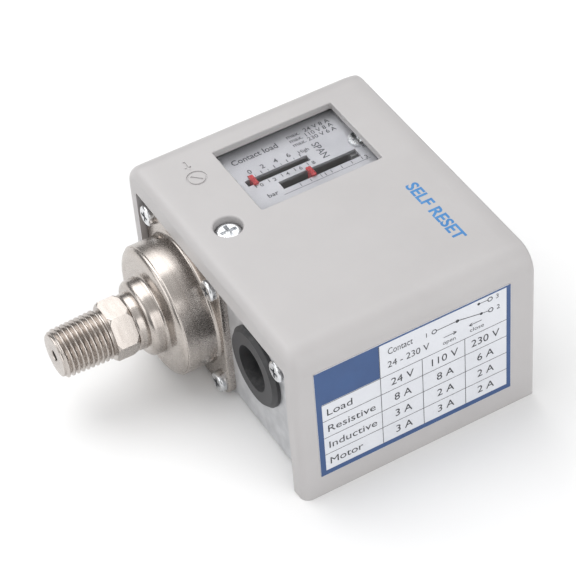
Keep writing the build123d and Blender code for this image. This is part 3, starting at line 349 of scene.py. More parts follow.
scaleSilver = grainedMaterial("scale_silver", {
    "metallic": 0.3, "darkTone": (0.37, 0.37, 0.395), "lightTone": (0.42, 0.42, 0.445),
    "roughLow": 0.34, "roughHigh": 0.46, "grainScale": 5200.0, "cloudScale": 120.0,
    "bump": 0.10, "bumpDepth": 0.02})

nickel = turnedMaterial("turned_nickel", {
    "axisX": cupCentreX, "axisZ": cupCentreZ, "ringScale": 5200.0, "grainScale": 2600.0,
    "darkTone": (0.435, 0.395, 0.365), "lightTone": (0.535, 0.495, 0.462),
    "roughLow": 0.24, "roughHigh": 0.30, "bump": 0.03, "bumpDepth": 0.02, "ringShare": 0.85})

labelPaper = grainedMaterial("label_paper", {
    "darkTone": (0.66, 0.675, 0.715), "lightTone": (0.69, 0.705, 0.745),
    "roughLow": 0.42, "roughHigh": 0.52, "grainScale": 3200.0, "cloudScale": 90.0,
    "bump": 0.06, "bumpDepth": 0.02})

labelBlue = grainedMaterial("label_blue", {
    "darkTone": (0.026, 0.070, 0.195), "lightTone": (0.034, 0.085, 0.225),
    "roughLow": 0.40, "roughHigh": 0.50, "grainScale": 3200.0, "cloudScale": 120.0,
    "bump": 0.06, "bumpDepth": 0.02})

labelInk = grainedMaterial("label_ink", {
    "darkTone": (0.020, 0.022, 0.028), "lightTone": (0.040, 0.042, 0.050),
    "roughLow": 0.45, "roughHigh": 0.55, "grainScale": 6000.0, "cloudScale": 300.0,
    "bump": 0.04, "bumpDepth": 0.01})

frontInk = grainedMaterial("front_ink", {
    "darkTone": (0.040, 0.190, 0.460), "lightTone": (0.060, 0.240, 0.530),
    "roughLow": 0.40, "roughHigh": 0.52, "grainScale": 4200.0, "cloudScale": 500.0,
    "bump": 0.06, "bumpDepth": 0.01})


def buildPointerRed():
    # clear red plastic, a little cloudy
    material, tree, shader, place = startMaterial(
        "pointer_red", 0.0, {"Transmission Weight": 0.65, "IOR": 1.25})
    grain = placeGroup(tree, grainGroup, place, {"Grain Scale": 3000.0, "Cloud Scale": 500.0})
    colour = mixColour(tree, addRange(tree, grain.outputs["Cloud"], 0.35, 0.65, 0.0, 1.0),
                       (0.62, 0.06, 0.07), (0.80, 0.12, 0.13))
    tree.links.new(colour, shader.inputs["Base Color"])
    rough = addRange(tree, grain.outputs["Cloud"], 0.3, 0.7, 0.14, 0.26)
    tree.links.new(rough, shader.inputs["Roughness"])
    return material


def buildLensClear():
    # clear moulded window: glass to the eye, and open to the rays of the lamps
    material, tree, shader, place = startMaterial(
        "lens_clear", 0.0, {"Transmission Weight": 1.0, "IOR": 1.38})
    grain = placeGroup(tree, grainGroup, place, {"Grain Scale": 900.0, "Cloud Scale": 60.0})
    colour = mixColour(tree, addRange(tree, grain.outputs["Cloud"], 0.35, 0.65, 0.0, 1.0),
                       (0.955, 0.960, 0.965), (0.985, 0.988, 0.990))
    tree.links.new(colour, shader.inputs["Base Color"])
    rough = addRange(tree, grain.outputs["Cloud"], 0.3, 0.7, 0.005, 0.02)
    tree.links.new(rough, shader.inputs["Roughness"])
    path = tree.nodes.new("ShaderNodeLightPath")
    lampWay = tree.nodes.new("ShaderNodeBsdfTransparent")
    mix = tree.nodes.new("ShaderNodeMixShader")
    tree.links.new(path.outputs["Is Shadow Ray"], mix.inputs[0])
    tree.links.new(shader.outputs[0], mix.inputs[1])
    tree.links.new(lampWay.outputs[0], mix.inputs[2])
    tree.links.new(mix.outputs[0], tree.nodes["Material Output"].inputs["Surface"])
    return material


pointerRed = buildPointerRed()
lensClear = buildLensClear()

finishes = {
    "cover": coverPlastic, "window_lens": lensClear, "chassis": galvanised,
    "adapter_plate": nickel, "bellows_housing": nickel,
    "cover_screw": zinc, "flange_screws": zinc, "ground_washer": zinc, "ground_screw": zinc,
    "bracket_screws": zinc, "pivot_pin": zinc, "range_screw": zinc, "diff_screw": zinc,
    "scale_screw": zinc, "switch_screws": zinc, "block_screws": zinc, "terminal_screws": zinc,
    "bellows": brass, "push_rod": brass, "terminal_plates": brass, "cable_grommet": rubberBlack,
    "lever_bracket": steel, "main_lever": steel, "range_seat": steel, "diff_seat": steel,
    "range_clip": steel, "diff_clip": steel, "range_nut": steel, "diff_nut": steel,
    "range_pointer": pointerRed, "diff_pointer": pointerRed, "scale_plate": scaleSilver,
    "switch_body": phenolic, "terminal_block": phenolic, "switch_plunger": plungerPlastic,
}
for nodeName, material in finishes.items():
    slots = nodes[nodeName].data.materials
    slots.clear()
    slots.append(material)
print("own shapes for", sorted(set(nodes) - set(finishes)))


print("pressure connector")

connector = {
    "collarRadius": 7.6, "collarRound": 0.84, "collarEnd": 49.0,
    "acrossFlats": 14.0, "hexTurn": 4.0, "hexEnd": 55.0, "hexChamfer": 0.7,
    "chamferSlope": 1.15, "chamferShare": 0.85, "hexFlatFrom": 1.3,
    "threadRelief": 0.5, "pitch": 1.337, "gaugeRadius": 6.58, "gaugeLength": 6.0,
    "taper": 1 / 32, "ridge": 0.72, "flankShare": 0.42, "runInFrom": 0.35, "runInLength": 0.9,
    "runOutBefore": 0.25, "runOutLength": 0.8, "tipRound": 0.12,
    "portRadius": 1.45, "portEdge": 0.2, "portDepth": 9.0, "around": 192, "perTurn": 16,
}


def connectorSurface(c):
    # radius as a function of the angle and the place along the axis: a collar with a rounded
    # end, a chamfered hexagon, then a tapered core with one helical ridge, and the bored tip
    low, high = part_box("pressure_connector")
    startY, tipY = high.y / mm, low.y / mm
    threadEnd = -tipY
    threadLength = threadEnd - c["hexEnd"]

    def rootAt(s):
        return c["gaugeRadius"] - c["ridge"] + (threadLength - c["gaugeLength"] - s) * c["taper"]

    angle = np.arange(c["around"]) * 2 * np.pi / c["around"] + math.radians(c["hexTurn"])
    sector = (np.degrees(angle) - c["hexTurn"]) % 60 - 30
    hexRadius = c["acrossFlats"] / 2 / np.cos(np.radians(sector))
    corner = c["acrossFlats"] / 2 / math.cos(math.radians(30))

    rows = []
    # collar: straight, then a quarter round
    for place in (-startY, c["collarEnd"] - c["collarRound"]):
        rows.append((place, np.full(c["around"], c["collarRadius"])))
    for turn in np.linspace(0, np.pi / 2, 9)[1:]:
        rows.append((c["collarEnd"] - c["collarRound"] * (1 - math.sin(turn)),
                     np.full(c["around"], c["collarRadius"] - c["collarRound"] * (1 - math.cos(turn)))))
    # hexagon between two cones
    length = c["hexEnd"] - c["collarEnd"]
    chamferRows = np.linspace(0, c["chamferSlope"] * c["hexChamfer"], 7)
    middleRows = np.linspace(c["hexFlatFrom"], length - c["hexFlatFrom"], 5)
    for place in np.concatenate([chamferRows, middleRows, length - chamferRows[::-1]]):
        nearest = min(place, length - place)
        cone = corner - c["chamferShare"] * c["hexChamfer"] + nearest / c["chamferSlope"] * c["chamferShare"]
        rows.append((c["collarEnd"] + place, np.minimum(hexRadius, cone)))
    # thread
    along = np.linspace(0, threadLength - c["tipRound"], int(threadLength / c["pitch"] * c["perTurn"]))
    share = (angle / (2 * np.pi)) % 1.0
    for s in along:
        phase = ((s - c["threadRelief"]) / c["pitch"] - share) % 1.0
        tooth = np.clip((0.5 - np.abs(phase - 0.5)) / c["flankShare"], 0, 1)
        grow = np.clip((s - c["runInFrom"]) / c["runInLength"], 0, 1)
        grow = grow * np.clip((threadLength - c["runOutBefore"] - s) / c["runOutLength"], 0, 1)
        rows.append((c["hexEnd"] + s, rootAt(s) + c["ridge"] * tooth * grow))
    # tip face and the port
    tipRadius = rootAt(threadLength)
    for place, radius in ((threadEnd - 0.02, tipRadius - c["tipRound"]),
                          (threadEnd, tipRadius - 0.3),
                          (threadEnd, c["portRadius"] + c["portEdge"]),
                          (threadEnd - c["portEdge"], c["portRadius"]),
                          (threadEnd - c["portDepth"], c["portRadius"]),
                          (threadEnd - c["portDepth"] - 0.6, 0.02)):
        rows.append((place, np.full(c["around"], radius)))
    places = np.array([r[0] for r in rows])
    radii = np.array([r[1] for r in rows])
    centreX = (low.x + high.x) / 2 / mm
    centreZ = (low.z + high.z) / 2 / mm
    points = np.stack([centreX + radii * np.cos(angle)[None, :],
                       np.broadcast_to(-places[:, None], radii.shape),
                       centreZ + radii * np.sin(angle)[None, :]], axis=-1).reshape(-1, 3) * mm
    faces = gridFaces(len(rows), c["around"])
    # closing discs at both ends
    firstRing = list(range(c["around"]))
    lastRing = list(range((len(rows) - 1) * c["around"], len(rows) * c["around"]))
    return points, faces + [firstRing[::-1], lastRing]


points, faces = connectorSurface(connector)
connectorPiece = makePiece("connector_threaded", points, faces, nickel, "frame", sharp=28)
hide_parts("pressure_connector")


print("bellows housing")

housing = {
    "cupRadius": 17.7, "cupFace": 42.2, "neckRadius": 10.2, "neckFace": 46.6, "wall": 1.0,
    "creaseStep": 0.4, "shoulderWidth": 2.85, "shoulderHeight": 1.4, "rootRound": 0.9, "neckRound": 1.6,
    "flangeFace": 32.0, "flangeBack": 30.9, "flangeCorner": 3.6, "flangeEdge": 0.25, "boreRadius": 5.0,
    "stakeFirst": 117.0, "stakePitch": 108.5, "stakeWidth": 2.4, "stakeDepth": 0.5,
    "stakeLow": 33.7, "stakeHigh": 34.7, "stakeSlope": 0.12, "around": 288,
}


def quarterArc(fromPoint, toPoint, bulge, count=8):
    # quarter of an ellipse between two corners of a box, bulging towards the given corner
    turn = np.linspace(0, np.pi / 2, count)
    a, b, corner = (np.array(v, float) for v in (fromPoint, toPoint, bulge))
    fromShare, toShare = 1 - np.sin(turn), 1 - np.cos(turn)
    return corner + (a - corner) * fromShare[:, None] + (b - corner) * toShare[:, None]


def housingSurface(c):
    # a profile of radius and place turned about the cup's axis; the flange's rows take their
    # radius from a rounded square instead, and three stake marks press the root of the cup in
    low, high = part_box("bellows_housing")
    centreX, centreZ = (low.x + high.x) / 2 / mm, (low.z + high.z) / 2 / mm
    half = (high.x - low.x) / 2 / mm
    angle = np.arange(c["around"]) * 2 * np.pi / c["around"]
    # rounded square: the circle of each corner, or the straight side
    foldX, foldZ = np.abs(np.cos(angle)), np.abs(np.sin(angle))
    inset = half - c["flangeCorner"]
    straight = half / np.maximum(foldX, foldZ)
    along = inset * (foldX + foldZ)
    corner = along + np.sqrt(np.maximum(along ** 2 - 2 * inset ** 2 + c["flangeCorner"] ** 2, 0))
    inCorner = (corner * foldX > inset) & (corner * foldZ > inset)
    square = np.where(inCorner, corner, straight)
    crease = c["cupRadius"] - c["creaseStep"]
    shoulderStart = (crease - c["shoulderWidth"], c["cupFace"])
    shoulderEnd = (crease, c["cupFace"] - c["shoulderHeight"])

    def ring(pairs):
        return [(place, np.full(c["around"], radius)) for radius, place in pairs]

    rows = ring([(c["boreRadius"], c["neckFace"] - c["wall"]), (c["boreRadius"], c["neckFace"])])
    rows += ring(quarterArc((c["neckRadius"] - c["neckRound"], c["neckFace"]),
                            (c["neckRadius"], c["neckFace"] - c["neckRound"]),
                            (c["neckRadius"], c["neckFace"])))
    rows += ring(quarterArc((c["neckRadius"], c["cupFace"] + c["rootRound"]),
                            (c["neckRadius"] + c["rootRound"], c["cupFace"]),
                            (c["neckRadius"], c["cupFace"])))
    rows += ring(quarterArc(shoulderStart, shoulderEnd, (crease, c["cupFace"]), 10))
    edge = c["cupFace"] - c["shoulderHeight"]
    rows += ring([(c["cupRadius"] - 0.2, edge + 0.02), (c["cupRadius"], edge - 0.16)])
    rows += ring([(c["cupRadius"], place) for place in (39.0, 37.0, 35.4)])
    # stake marks
    degrees = np.degrees(angle)
    pressed = np.zeros(c["around"])
    for mark in range(3):
        away = (degrees - c["stakeFirst"] - mark * c["stakePitch"] + 180) % 360 - 180
        reach = np.radians(np.abs(away)) * c["cupRadius"]
        inside = (c["stakeWidth"] / 2 + c["stakeSlope"] - reach) / (2 * c["stakeSlope"])
        pressed = np.maximum(pressed, np.clip(inside, 0, 1))
    for place, share in ((c["stakeHigh"] + c["stakeSlope"], 0), (c["stakeHigh"], 1),
                         (c["stakeLow"], 1), (c["stakeLow"] - c["stakeSlope"], 0)):
        rows.append((place, c["cupRadius"] - c["stakeDepth"] * pressed * share))
    rows += ring(quarterArc((c["cupRadius"], c["flangeFace"] + c["rootRound"]),
                            (c["cupRadius"] + c["rootRound"], c["flangeFace"]),
                            (c["cupRadius"], c["flangeFace"])))
    rows += [(c["flangeFace"], square - c["flangeEdge"]),
             (c["flangeFace"] - c["flangeEdge"] * 0.3, square - 0.07),
             (c["flangeFace"] - c["flangeEdge"], square),
             (c["flangeBack"], square)]
    inner = c["cupRadius"] - c["wall"]
    rows += ring([(inner, c["flangeBack"]), (inner, edge - 0.6), (inner - 2.2, c["cupFace"] - c["wall"]),
                  (c["neckRadius"] - c["wall"], c["cupFace"] - c["wall"]),
                  (c["neckRadius"] - c["wall"], c["neckFace"] - c["wall"]),
                  (c["boreRadius"], c["neckFace"] - c["wall"])])
    places = np.array([r[0] for r in rows])
    radii = np.array([r[1] for r in rows])
    points = np.stack([centreX + radii * np.cos(angle),
                       np.broadcast_to(-places[:, None], radii.shape),
                       centreZ + radii * np.sin(angle)], axis=-1).reshape(-1, 3) * mm
    return points, gridFaces(len(rows), c["around"])


creaseAngle = 32
points, faces = housingSurface(housing)
housingPiece = makePiece("bellows_housing_stamped", points, faces, nickel, "frame", sharp=creaseAngle)
closePoles(housingPiece)
housingPiece.data.set_sharp_from_angle(angle=math.radians(creaseAngle))
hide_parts("bellows_housing")


print("setting springs")

springs = {
    # room is left at the seat for the lever's tilt
    "range": {"node": "range_spring", "wire": 1.1, "body": "range_carriage", "turns": 5, "room": 0.42},
    "diff": {"node": "diff_spring", "wire": 0.8, "body": "diff_carriage", "turns": 5, "room": 0.42},
}


def springSurface(node, wire, turns, room, aroundWire=12, perTurn=40):
    # a wire round a helix whose first and last turn lie nearly flat, tapered shut at both ends
    low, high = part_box(node)
    meanRadius = (high.x - low.x) / 2 / mm - wire / 2
    startY = low.y / mm + wire / 2 + room
    rise = (high.y - low.y) / mm - wire - room
    share = np.linspace(0, 1, turns * perTurn + 1)
    angle = share * turns * 2 * np.pi
    endTurn = 0.8 / turns
    flat = min(1.04 * wire * 0.8 / rise, endTurn)
    height = np.interp(share, [0, endTurn, 1 - endTurn, 1], [0, flat, 1 - flat, 1])
    spread = np.array([0.25, 0.5, 0.25])
    padded = np.pad(height, 8, mode="edge")
    for _ in range(8):
        padded = np.convolve(padded, spread, mode="same")
    height = np.clip(padded[8:-8], 0, 1)
    centre = np.stack([meanRadius * np.cos(angle), startY + rise * height,
                       meanRadius * np.sin(angle)], axis=-1)
    outward = np.stack([np.cos(angle), np.zeros_like(angle), np.sin(angle)], axis=-1)
    upward = np.array([0.0, 1.0, 0.0])
    turnWire = np.arange(aroundWire) * 2 * np.pi / aroundWire
    ring = (outward[:, None, :] * np.cos(turnWire)[None, :, None]
            + upward[None, None, :] * np.sin(turnWire)[None, :, None]) * wire / 2
    tube = centre[:, None, :] + ring
    shift = np.array([(low.x + high.x) / 2, 0, (low.z + high.z) / 2])
    points = tube.reshape(-1, 3) * mm + shift
    faces = gridFaces(len(angle), aroundWire)
    last = (len(angle) - 1) * aroundWire
    caps = [list(range(aroundWire)), list(range(last, last + aroundWire))[::-1]]
    return points, faces + [cap[::-1] for cap in caps]


for label, s in springs.items():
    points, faces = springSurface(s["node"], s["wire"], s["turns"], s["room"])
    spring = makePiece(label + "_spring_coil", points, faces, springWire, None, sharp=60)
    low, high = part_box(s["node"])
    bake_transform(spring)
    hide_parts(s["node"])


print("bellows")

bellowsLook = {"folds": 5, "wall": 0.4, "foldDepth": 3.6, "around": 72, "perFold": 14}


def bellowsSurface(c):
    # a profile of rounded folds turned about the axis: the outer skin, the inner skin a wall
    # inside it, and a flat end disc at the pressure side
    low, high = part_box("bellows")
    centreX, centreZ = (low.x + high.x) / 2, (low.z + high.z) / 2
    outer = (high.x - low.x) / 2 / mm
    start, end = low.y / mm, high.y / mm
    share = np.linspace(0, 1, c["folds"] * c["perFold"] + 1)
    wave = 0.5 - 0.5 * np.cos(2 * np.pi * c["folds"] * share)
    skin = outer - c["foldDepth"] * (1 - wave ** 0.8)
    along = start + (end - start) * share
    inside = skin - c["wall"]
    insideAlong = np.maximum(along, start + c["wall"])
    profileR = np.concatenate([[0.0, skin[0] * 0.5], skin, inside[::-1], [inside[0] * 0.5, 0.0]])
    profileY = np.concatenate([[start, start], along, insideAlong[::-1], [start + c["wall"]] * 2])
    angle = np.arange(c["around"]) * 2 * np.pi / c["around"]
    points = np.stack([centreX / mm + profileR[:, None] * np.cos(angle),
                       np.broadcast_to(profileY[:, None], (len(profileR), c["around"])),
                       centreZ / mm + profileR[:, None] * np.sin(angle)], axis=-1).reshape(-1, 3) * mm
    faces = [f[::-1] for f in gridFaces(len(profileR), c["around"])]
    return points, faces, (low, high)


points, faces, (low, high) = bellowsSurface(bellowsLook)
bellowsPiece = makePiece("bellows_folded", points, faces, brass, None, sharp=50)
closePoles(bellowsPiece)
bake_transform(bellowsPiece)
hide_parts("bellows")


print("printing")


def flatText(words, height, width=None, bold=0.0, align="left"):
    # the letters' own flat faces, scaled so that a capital is height tall and the line width wide
    curve = bpy.data.curves.new("letters", "FONT")
    curve.body = words
    curve.resolution_u = 3
    curve.offset = bold
    holder = bpy.data.objects.new("letters", curve)
    bpy.context.scene.collection.objects.link(holder)
    bpy.context.view_layer.update()
    mesh = bpy.data.meshes.new_from_object(holder)
    count = len(mesh.vertices)
    flat = np.zeros(count * 3)
    mesh.vertices.foreach_get("co", flat)
    flat = flat.reshape(-1, 3)[:, :2]
    faces = [list(p.vertices) for p in mesh.polygons]
    bpy.data.objects.remove(holder)
    bpy.data.meshes.remove(mesh)
    bpy.data.curves.remove(curve)
    flat[:, 0] -= flat[:, 0].min()
    capital = 0.73
    scale = height / capital
    across = width / flat[:, 0].max() if width else scale
    flat = flat * np.array([across, scale])
    if align == "centre":
        flat[:, 0] -= flat[:, 0].max() / 2
    if align == "right":
        flat[:, 0] -= flat[:, 0].max()
    return flat, faces


def flatBar(x0, y0, x1, y1):
    # a rectangle between two corners
    return np.array([[x0, y0], [x1, y0], [x1, y1], [x0, y1]], float), [[0, 1, 2, 3]]


def flatRing(x, y, outer, inner, count=28):
    # a ring between two circles of the same centre
    angle = np.arange(count) * 2 * np.pi / count
    circle = np.stack([np.cos(angle), np.sin(angle)], axis=-1)
    flat = np.concatenate([circle * outer, circle * inner]) + np.array([x, y])
    i = np.arange(count)
    j = (i + 1) % count
    return flat, np.stack([i, j, j + count, i + count], axis=-1).tolist()


def flatDisc(x, y, radius, count=20):
    # a filled circle
    angle = np.arange(count) * 2 * np.pi / count
    flat = np.stack([x + radius * np.cos(angle), y + radius * np.sin(angle)], axis=-1)
    return flat, [list(range(count))]


def flatLine(x0, y0, x1, y1, thick):
    # a bar of that thickness from one point to the other
    along = np.array([x1 - x0, y1 - y0], float)
    along /= np.hypot(*along)
    side = np.array([-along[1], along[0]]) * thick / 2
    a, b = np.array([x0, y0]), np.array([x1, y1])
    return np.array([a - side, b - side, b + side, a + side]), [[0, 1, 2, 3]]


def shifted(shape, x, y):
    # the same shape moved on its plane
    return shape[0] + np.array([x, y]), shape[1]


def layPrint(name, shapes, origin, along, up, material, body):
    # flat shapes in millimetres set onto a plane given by its origin and two directions
    points, faces, count = [], [], 0
    for flat, shapeFaces in shapes:
        points.append(flat)
        faces += [[v + count for v in f] for f in shapeFaces]
        count += len(flat)
    flat = np.concatenate(points) * mm
    placed = (np.array(origin, float) * mm + flat[:, :1] * np.array(along, float)
              + flat[:, 1:] * np.array(up, float))
    piece = makePiece(name, placed, faces, material, body)
    return piece


# rating label on the +X side: read along +Y, up is +Z
labelLow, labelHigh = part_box("rating_label")
label = {
    "left": -28.45, "right": 26.35, "bottom": 6.75, "top": 42.65,
    "borderSide": 1.25, "borderLow": 1.6, "borderTop": 0.6, "cornerRadius": 0.9,
    "backX": 42.5, "paperX": 42.66, "blueX": 42.675, "inkX": 42.69,
    "blockRight": -10.8, "blockLow": 31.4, "columns": (-10.7, 1.0, 13.1), "rows": (31.2, 25.5, 19.7, 13.9),
    "lineThick": 0.16,
}


def labelPlate(c):
    # a thin slab with rounded corners: the outline at the back, then at the front, closed by both faces
    steps = np.linspace(0, np.pi / 2, 6)
    corners = []
    for y, z, turn in ((c["right"], c["top"], 0), (c["left"], c["top"], 1),
                       (c["left"], c["bottom"], 2), (c["right"], c["bottom"], 3)):
        signY = 1 if turn in (0, 3) else -1
        signZ = 1 if turn in (0, 1) else -1
        angle = steps + turn * np.pi / 2
        corners.append(np.stack([y - signY * c["cornerRadius"] + c["cornerRadius"] * np.cos(angle),
                                 z - signZ * c["cornerRadius"] + c["cornerRadius"] * np.sin(angle)], axis=-1))
    outline = np.concatenate(corners)
    count = len(outline)
    layers = [np.column_stack([np.full(count, x), outline]) for x in (c["backX"], c["paperX"])]
    points = np.concatenate(layers) * mm
    i = np.arange(count)
    j = (i + 1) % count
    sides = np.stack([i, j, j + count, i + count], axis=-1).tolist()
    return points, sides + [list(range(count))[::-1], list(range(count, 2 * count))]


points, faces = labelPlate(label)
labelPiece = makePiece("label_plate", points, faces, labelPaper, "cover")
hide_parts("rating_label")

inset = 0.06
left, right = label["left"] + inset, label["right"] - inset
bottom, top = label["bottom"] + inset, label["top"] - inset
blueShapes = [
    flatBar(left, bottom, right, label["bottom"] + label["borderLow"]),
    flatBar(left, label["top"] - label["borderTop"], right, top),
    flatBar(left, label["bottom"] + label["borderLow"], label["left"] + label["borderSide"] + 0.3,
            label["top"] - label["borderTop"]),
    flatBar(label["right"] - label["borderSide"], label["bottom"] + label["borderLow"], right,
            label["top"] - label["borderTop"]),
    flatBar(label["left"] + label["borderSide"] + 0.3, label["blockLow"], label["blockRight"],
            label["top"] - label["borderTop"]),
]
layPrint("label_blue_print", blueShapes, (label["blueX"], 0, 0), (0, 1, 0), (0, 0, 1),
         labelBlue, "cover")

thick = label["lineThick"]
innerLeft, innerRight = label["left"] + label["borderSide"] + 0.3, label["right"] - label["borderSide"]
innerLow, innerTop = label["bottom"] + label["borderLow"], label["top"] - label["borderTop"]
inkShapes = []
for index, y in enumerate(label["columns"]):
    upper = innerTop if index == 0 else label["rows"][0]
    inkShapes.append(flatBar(y - thick / 2, innerLow, y + thick / 2, upper))
for z in label["rows"]:
    inkShapes.append(flatBar(innerLeft, z - thick / 2, innerRight, z + thick / 2))
inkShapes.append(shifted(flatText("Contact", 2.2, 6.9), -8.3, 38.0))
inkShapes.append(shifted(flatText("24 - 230 V", 2.2, 11.6), -8.5, 33.6))
# wiring sign: a feed, a moving arm and two outlets
inkShapes += [
    flatLine(5.4, 38.5, 10.7, 38.5, 0.22),
    flatDisc(11.1, 38.45, 0.5),
    flatLine(11.3, 38.5, 17.6, 37.3, 0.24),
    flatDisc(17.9, 37.2, 0.42),
    flatRing(20.6, 37.0, 0.75, 0.5),
    flatDisc(17.2, 40.8, 0.42),
    flatRing(20.4, 40.7, 0.75, 0.5),
    flatLine(18.3, 37.15, 19.9, 37.05, 0.18),
    flatLine(17.6, 40.8, 19.7, 40.72, 0.18),
    flatRing(4.6, 38.5, 0.75, 0.5),
]
for tail, head, barb in ((7.2, 10.8, 9.9), (18.0, 14.4, 15.3)):
    # an arrow for the way the arm moves
    inkShapes.append(flatLine(tail, 35.0, head, 35.0, 0.2))
    inkShapes.append(flatLine(head, 35.0, barb, 35.5, 0.2))
    inkShapes.append(flatLine(head, 35.0, barb, 34.5, 0.2))
for words, height, width, y, z in (("1", 1.5, None, 2.3, 37.8), ("2", 1.5, None, 22.3, 36.3),
                                   ("3", 1.5, None, 22.1, 40.0), ("open", 1.3, 3.6, 6.9, 32.6),
                                   ("close", 1.3, 4.0, 14.6, 32.6)):
    inkShapes.append(shifted(flatText(words, height, width), y, z))
columnCentres = (-4.6, 7.4, 19.0)
headings = ("24 V", "110 V", "230 V")
rowTitles = ("Resistive", "Inductive", "Motor")
cellWords = (("8 A", "8 A", "6 A"), ("3 A", "2 A", "2 A"), ("3 A", "3 A", "2 A"))
for y, words in zip(columnCentres, headings):
    inkShapes.append(shifted(flatText(words, 2.5, None, 0.0, "centre"), y, 27.1))
for title, width, z, cells in zip(rowTitles, (13.2, 13.4, 9.2), (21.5, 15.8, 10.1), cellWords):
    inkShapes.append(shifted(flatText(title, 2.4, width), -25.6, z - 0.1))
    for y, words in zip(columnCentres, cells):
        inkShapes.append(shifted(flatText(words, 2.5, None, 0.0, "centre"), y, z - 0.1))
inkShapes.append(shifted(flatText("Load", 2.4, 7.0), -25.6, 27.1))
layPrint("label_ink_print", inkShapes, (label["inkX"], 0, 0), (0, 1, 0), (0, 0, 1),
         labelInk, "cover")

# words on the front of the cover: read along +X, up is +Y
frontPrint = {"words": "SELF RESET", "x": 5.3, "y": 20.1, "height": 3.3, "width": 23.2, "above": 0.01}
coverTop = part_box("cover")[1].z / mm
layPrint("front_print", [flatText(frontPrint["words"], frontPrint["height"], frontPrint["width"], 0.03)],
         (frontPrint["x"], frontPrint["y"], coverTop + frontPrint["above"]), (1, 0, 0), (0, 1, 0),
         frontInk, "cover")

# scale plate
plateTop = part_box("scale_plate")[1].z / mm
scale = {
    "leftStep": 3.75, "leftFirst": -8.6, "rightStep": 2.97, "rightFirst": 1.1, "above": 0.012,
    "loadLines": ((30.1, "max.  24 V 8 A"), (28.3, "max. 110 V 8 A"), (26.5, "max. 230 V 6 A")),
    "leftNumbers": ("0", "2", "4", "6", "8"), "rightNumbers": {2: "1", 6: "3"},
}
# read along +Y, so a place is (y, -x)
alongY = [shifted(flatText("Contact load", 2.0, 13.2, 0.015), -9.7, 28.8)]
for x, words in scale["loadLines"]:
    alongY.append(shifted(flatText(words, 1.45, 12.6, 0.012), 6.8, x))
alongY.append(shifted(flatText("High", 1.3, 2.9, 0.015), 6.6, 23.5))
for index, number in enumerate(scale["leftNumbers"]):
    place = scale["leftFirst"] + index * scale["leftStep"]
    if index < 4:
        alongY.append(shifted(flatText(number, 1.6, None, 0.02, "centre"), place + 1.3, 24.0))
    alongY.append(flatBar(place - 0.12, 22.45, place + 0.12, 23.6))
    alongY.append(flatBar(place - 0.12, 18.5, place + 0.12, 19.7))
    alongY.append(shifted(flatText(number, 1.3, None, 0.02, "centre"), place + 1.5, 18.2))
for index in range(4):
    middle = scale["leftFirst"] + (index + 0.5) * scale["leftStep"]
    alongY.append(flatBar(middle - 0.08, 22.45, middle + 0.08, 23.1))
for index in range(7):
    place = scale["rightFirst"] + index * scale["rightStep"]
    alongY.append(flatBar(place - 0.1, 12.85, place + 0.1, 14.0))
    if index in scale["rightNumbers"]:
        number = flatText(scale["rightNumbers"][index], 1.3, None, 0.02, "centre")
        alongY.append(shifted(number, place + 1.2, 12.7))
alongY.append(flatBar(-4.2, 12.35, 21.0, 12.5))
alongY.append(shifted(flatText("bar", 1.5, 2.9, 0.02), -7.9, 13.5))
layPrint("scale_print", alongY, (0, 0, plateTop + scale["above"]), (0, 1, 0), (-1, 0, 0),
         labelInk, "frame")
layPrint("scale_span_print", [flatText("SPAN", 2.1, 6.4, 0.01)], (-25.1, 10.8, plateTop + scale["above"]),
         (1, 0, 0), (0, 1, 0), labelInk, "frame")


print("stage, lamps and camera")

stageLook = {
    "floorSize": 6.0, "floorDrop": 0.05, "skyStrength": 0.85,
    # grey level of the surroundings by height, from the horizon to overhead
    "skyStops": ((0.0, 0.30), (0.12, 0.14), (0.38, 0.38), (1.0, 1.0)),
    # place, size and watts of each softbox
    "lamps": {
        "key_softbox": ((-0.40, -0.10, 0.70), (0.8, 0.8), 4.4),
        "fill_softbox": ((0.75, 0.15, 0.35), (0.9, 0.7), 3.7),
        "front_softbox": ((-0.1, -0.85, 0.35), (0.75, 0.5), 2.2),
    },
    "lampTarget": (0, 0, 0.02),
}


def buildFloorMaterial():
    material, tree, shader, place = startMaterial("studio_floor", 0.0, {"Specular IOR Level": 0.2})
    grain = placeGroup(tree, grainGroup, place, {"Grain Scale": 400.0, "Cloud Scale": 3.0})
    colour = mixColour(tree, grain.outputs["Cloud"], (0.88, 0.88, 0.88), (0.92, 0.92, 0.92))
    tree.links.new(colour, shader.inputs["Base Color"])
    rough = addRange(tree, grain.outputs["Cloud"], 0.3, 0.7, 0.7, 0.8)
    tree.links.new(rough, shader.inputs["Roughness"])
    return material


half = stageLook["floorSize"] / 2
floorPoints = np.array([[-half, -half, 0], [half, -half, 0], [half, half, 0], [-half, half, 0]])
floorPoints[:, 2] = -stageLook["floorDrop"] * mm
floor = makePiece("studio_floor", floorPoints, [[0, 1, 2, 3]], buildFloorMaterial(), None)

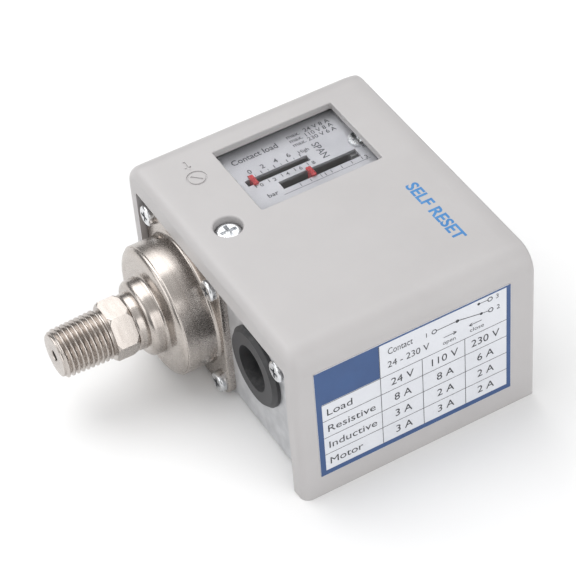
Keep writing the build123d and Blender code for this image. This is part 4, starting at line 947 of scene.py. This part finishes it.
world = bpy.data.worlds.new("studio")
bpy.context.scene.world = world
world.use_nodes = True
worldTree = world.node_tree
background = worldTree.nodes["Background"]
coordinates = worldTree.nodes.new("ShaderNodeTexCoord")
splitSky = worldTree.nodes.new("ShaderNodeSeparateXYZ")
worldTree.links.new(coordinates.outputs["Generated"], splitSky.inputs[0])
ramp = worldTree.nodes.new("ShaderNodeValToRGB")
for index, (at, level) in enumerate(stageLook["skyStops"]):
    stop = ramp.color_ramp.elements[index] if index < 2 else ramp.color_ramp.elements.new(at)
    stop.position = at
    stop.color = (level, level, level, 1.0)
worldTree.links.new(splitSky.outputs["Z"], ramp.inputs["Fac"])
worldTree.links.new(ramp.outputs["Color"], background.inputs["Color"])
background.inputs["Strength"].default_value = stageLook["skyStrength"]


def addLamp(name, place, target, size, power):
    # a rectangular softbox turned towards its target
    lamp = bpy.data.lights.new(name, "AREA")
    lamp.shape = "RECTANGLE"
    lamp.size, lamp.size_y = size
    lamp.energy = power
    holder = bpy.data.objects.new(name, lamp)
    holder.location = place
    aim = Vector(target) - Vector(place)
    holder.rotation_mode = "QUATERNION"
    holder.rotation_quaternion = aim.to_track_quat("-Z", "Y")
    bpy.context.scene.collection.objects.link(holder)


for name, (place, size, power) in stageLook["lamps"].items():
    addLamp(name, place, stageLook["lampTarget"], size, power)

cameraLook = {
    "right": (0.49891387, 0.86436405, -0.0629265),
    "down": (0.58561713, -0.38976205, -0.71073069),
    "ahead": (-0.63885642, 0.31774257, -0.70064409),
    "place": (0.380476, -0.200933, 0.444142), "lens": 149.146,
}
cameraData = bpy.data.cameras.new("studio_camera")
cameraData.sensor_width = 36.0
cameraData.lens = cameraLook["lens"]
cameraData.clip_start = 0.01
cameraData.clip_end = 20.0
camera = bpy.data.objects.new("studio_camera", cameraData)
turned = Matrix((cameraLook["right"], tuple(-v for v in cameraLook["down"]),
                 tuple(-v for v in cameraLook["ahead"]))).transposed()
camera.matrix_world = Matrix.Translation(cameraLook["place"]) @ turned.to_4x4()
bpy.context.scene.collection.objects.link(camera)
bpy.context.scene.camera = camera
bpy.context.scene.view_settings.view_transform = "Standard"

bpy.context.view_layer.update()
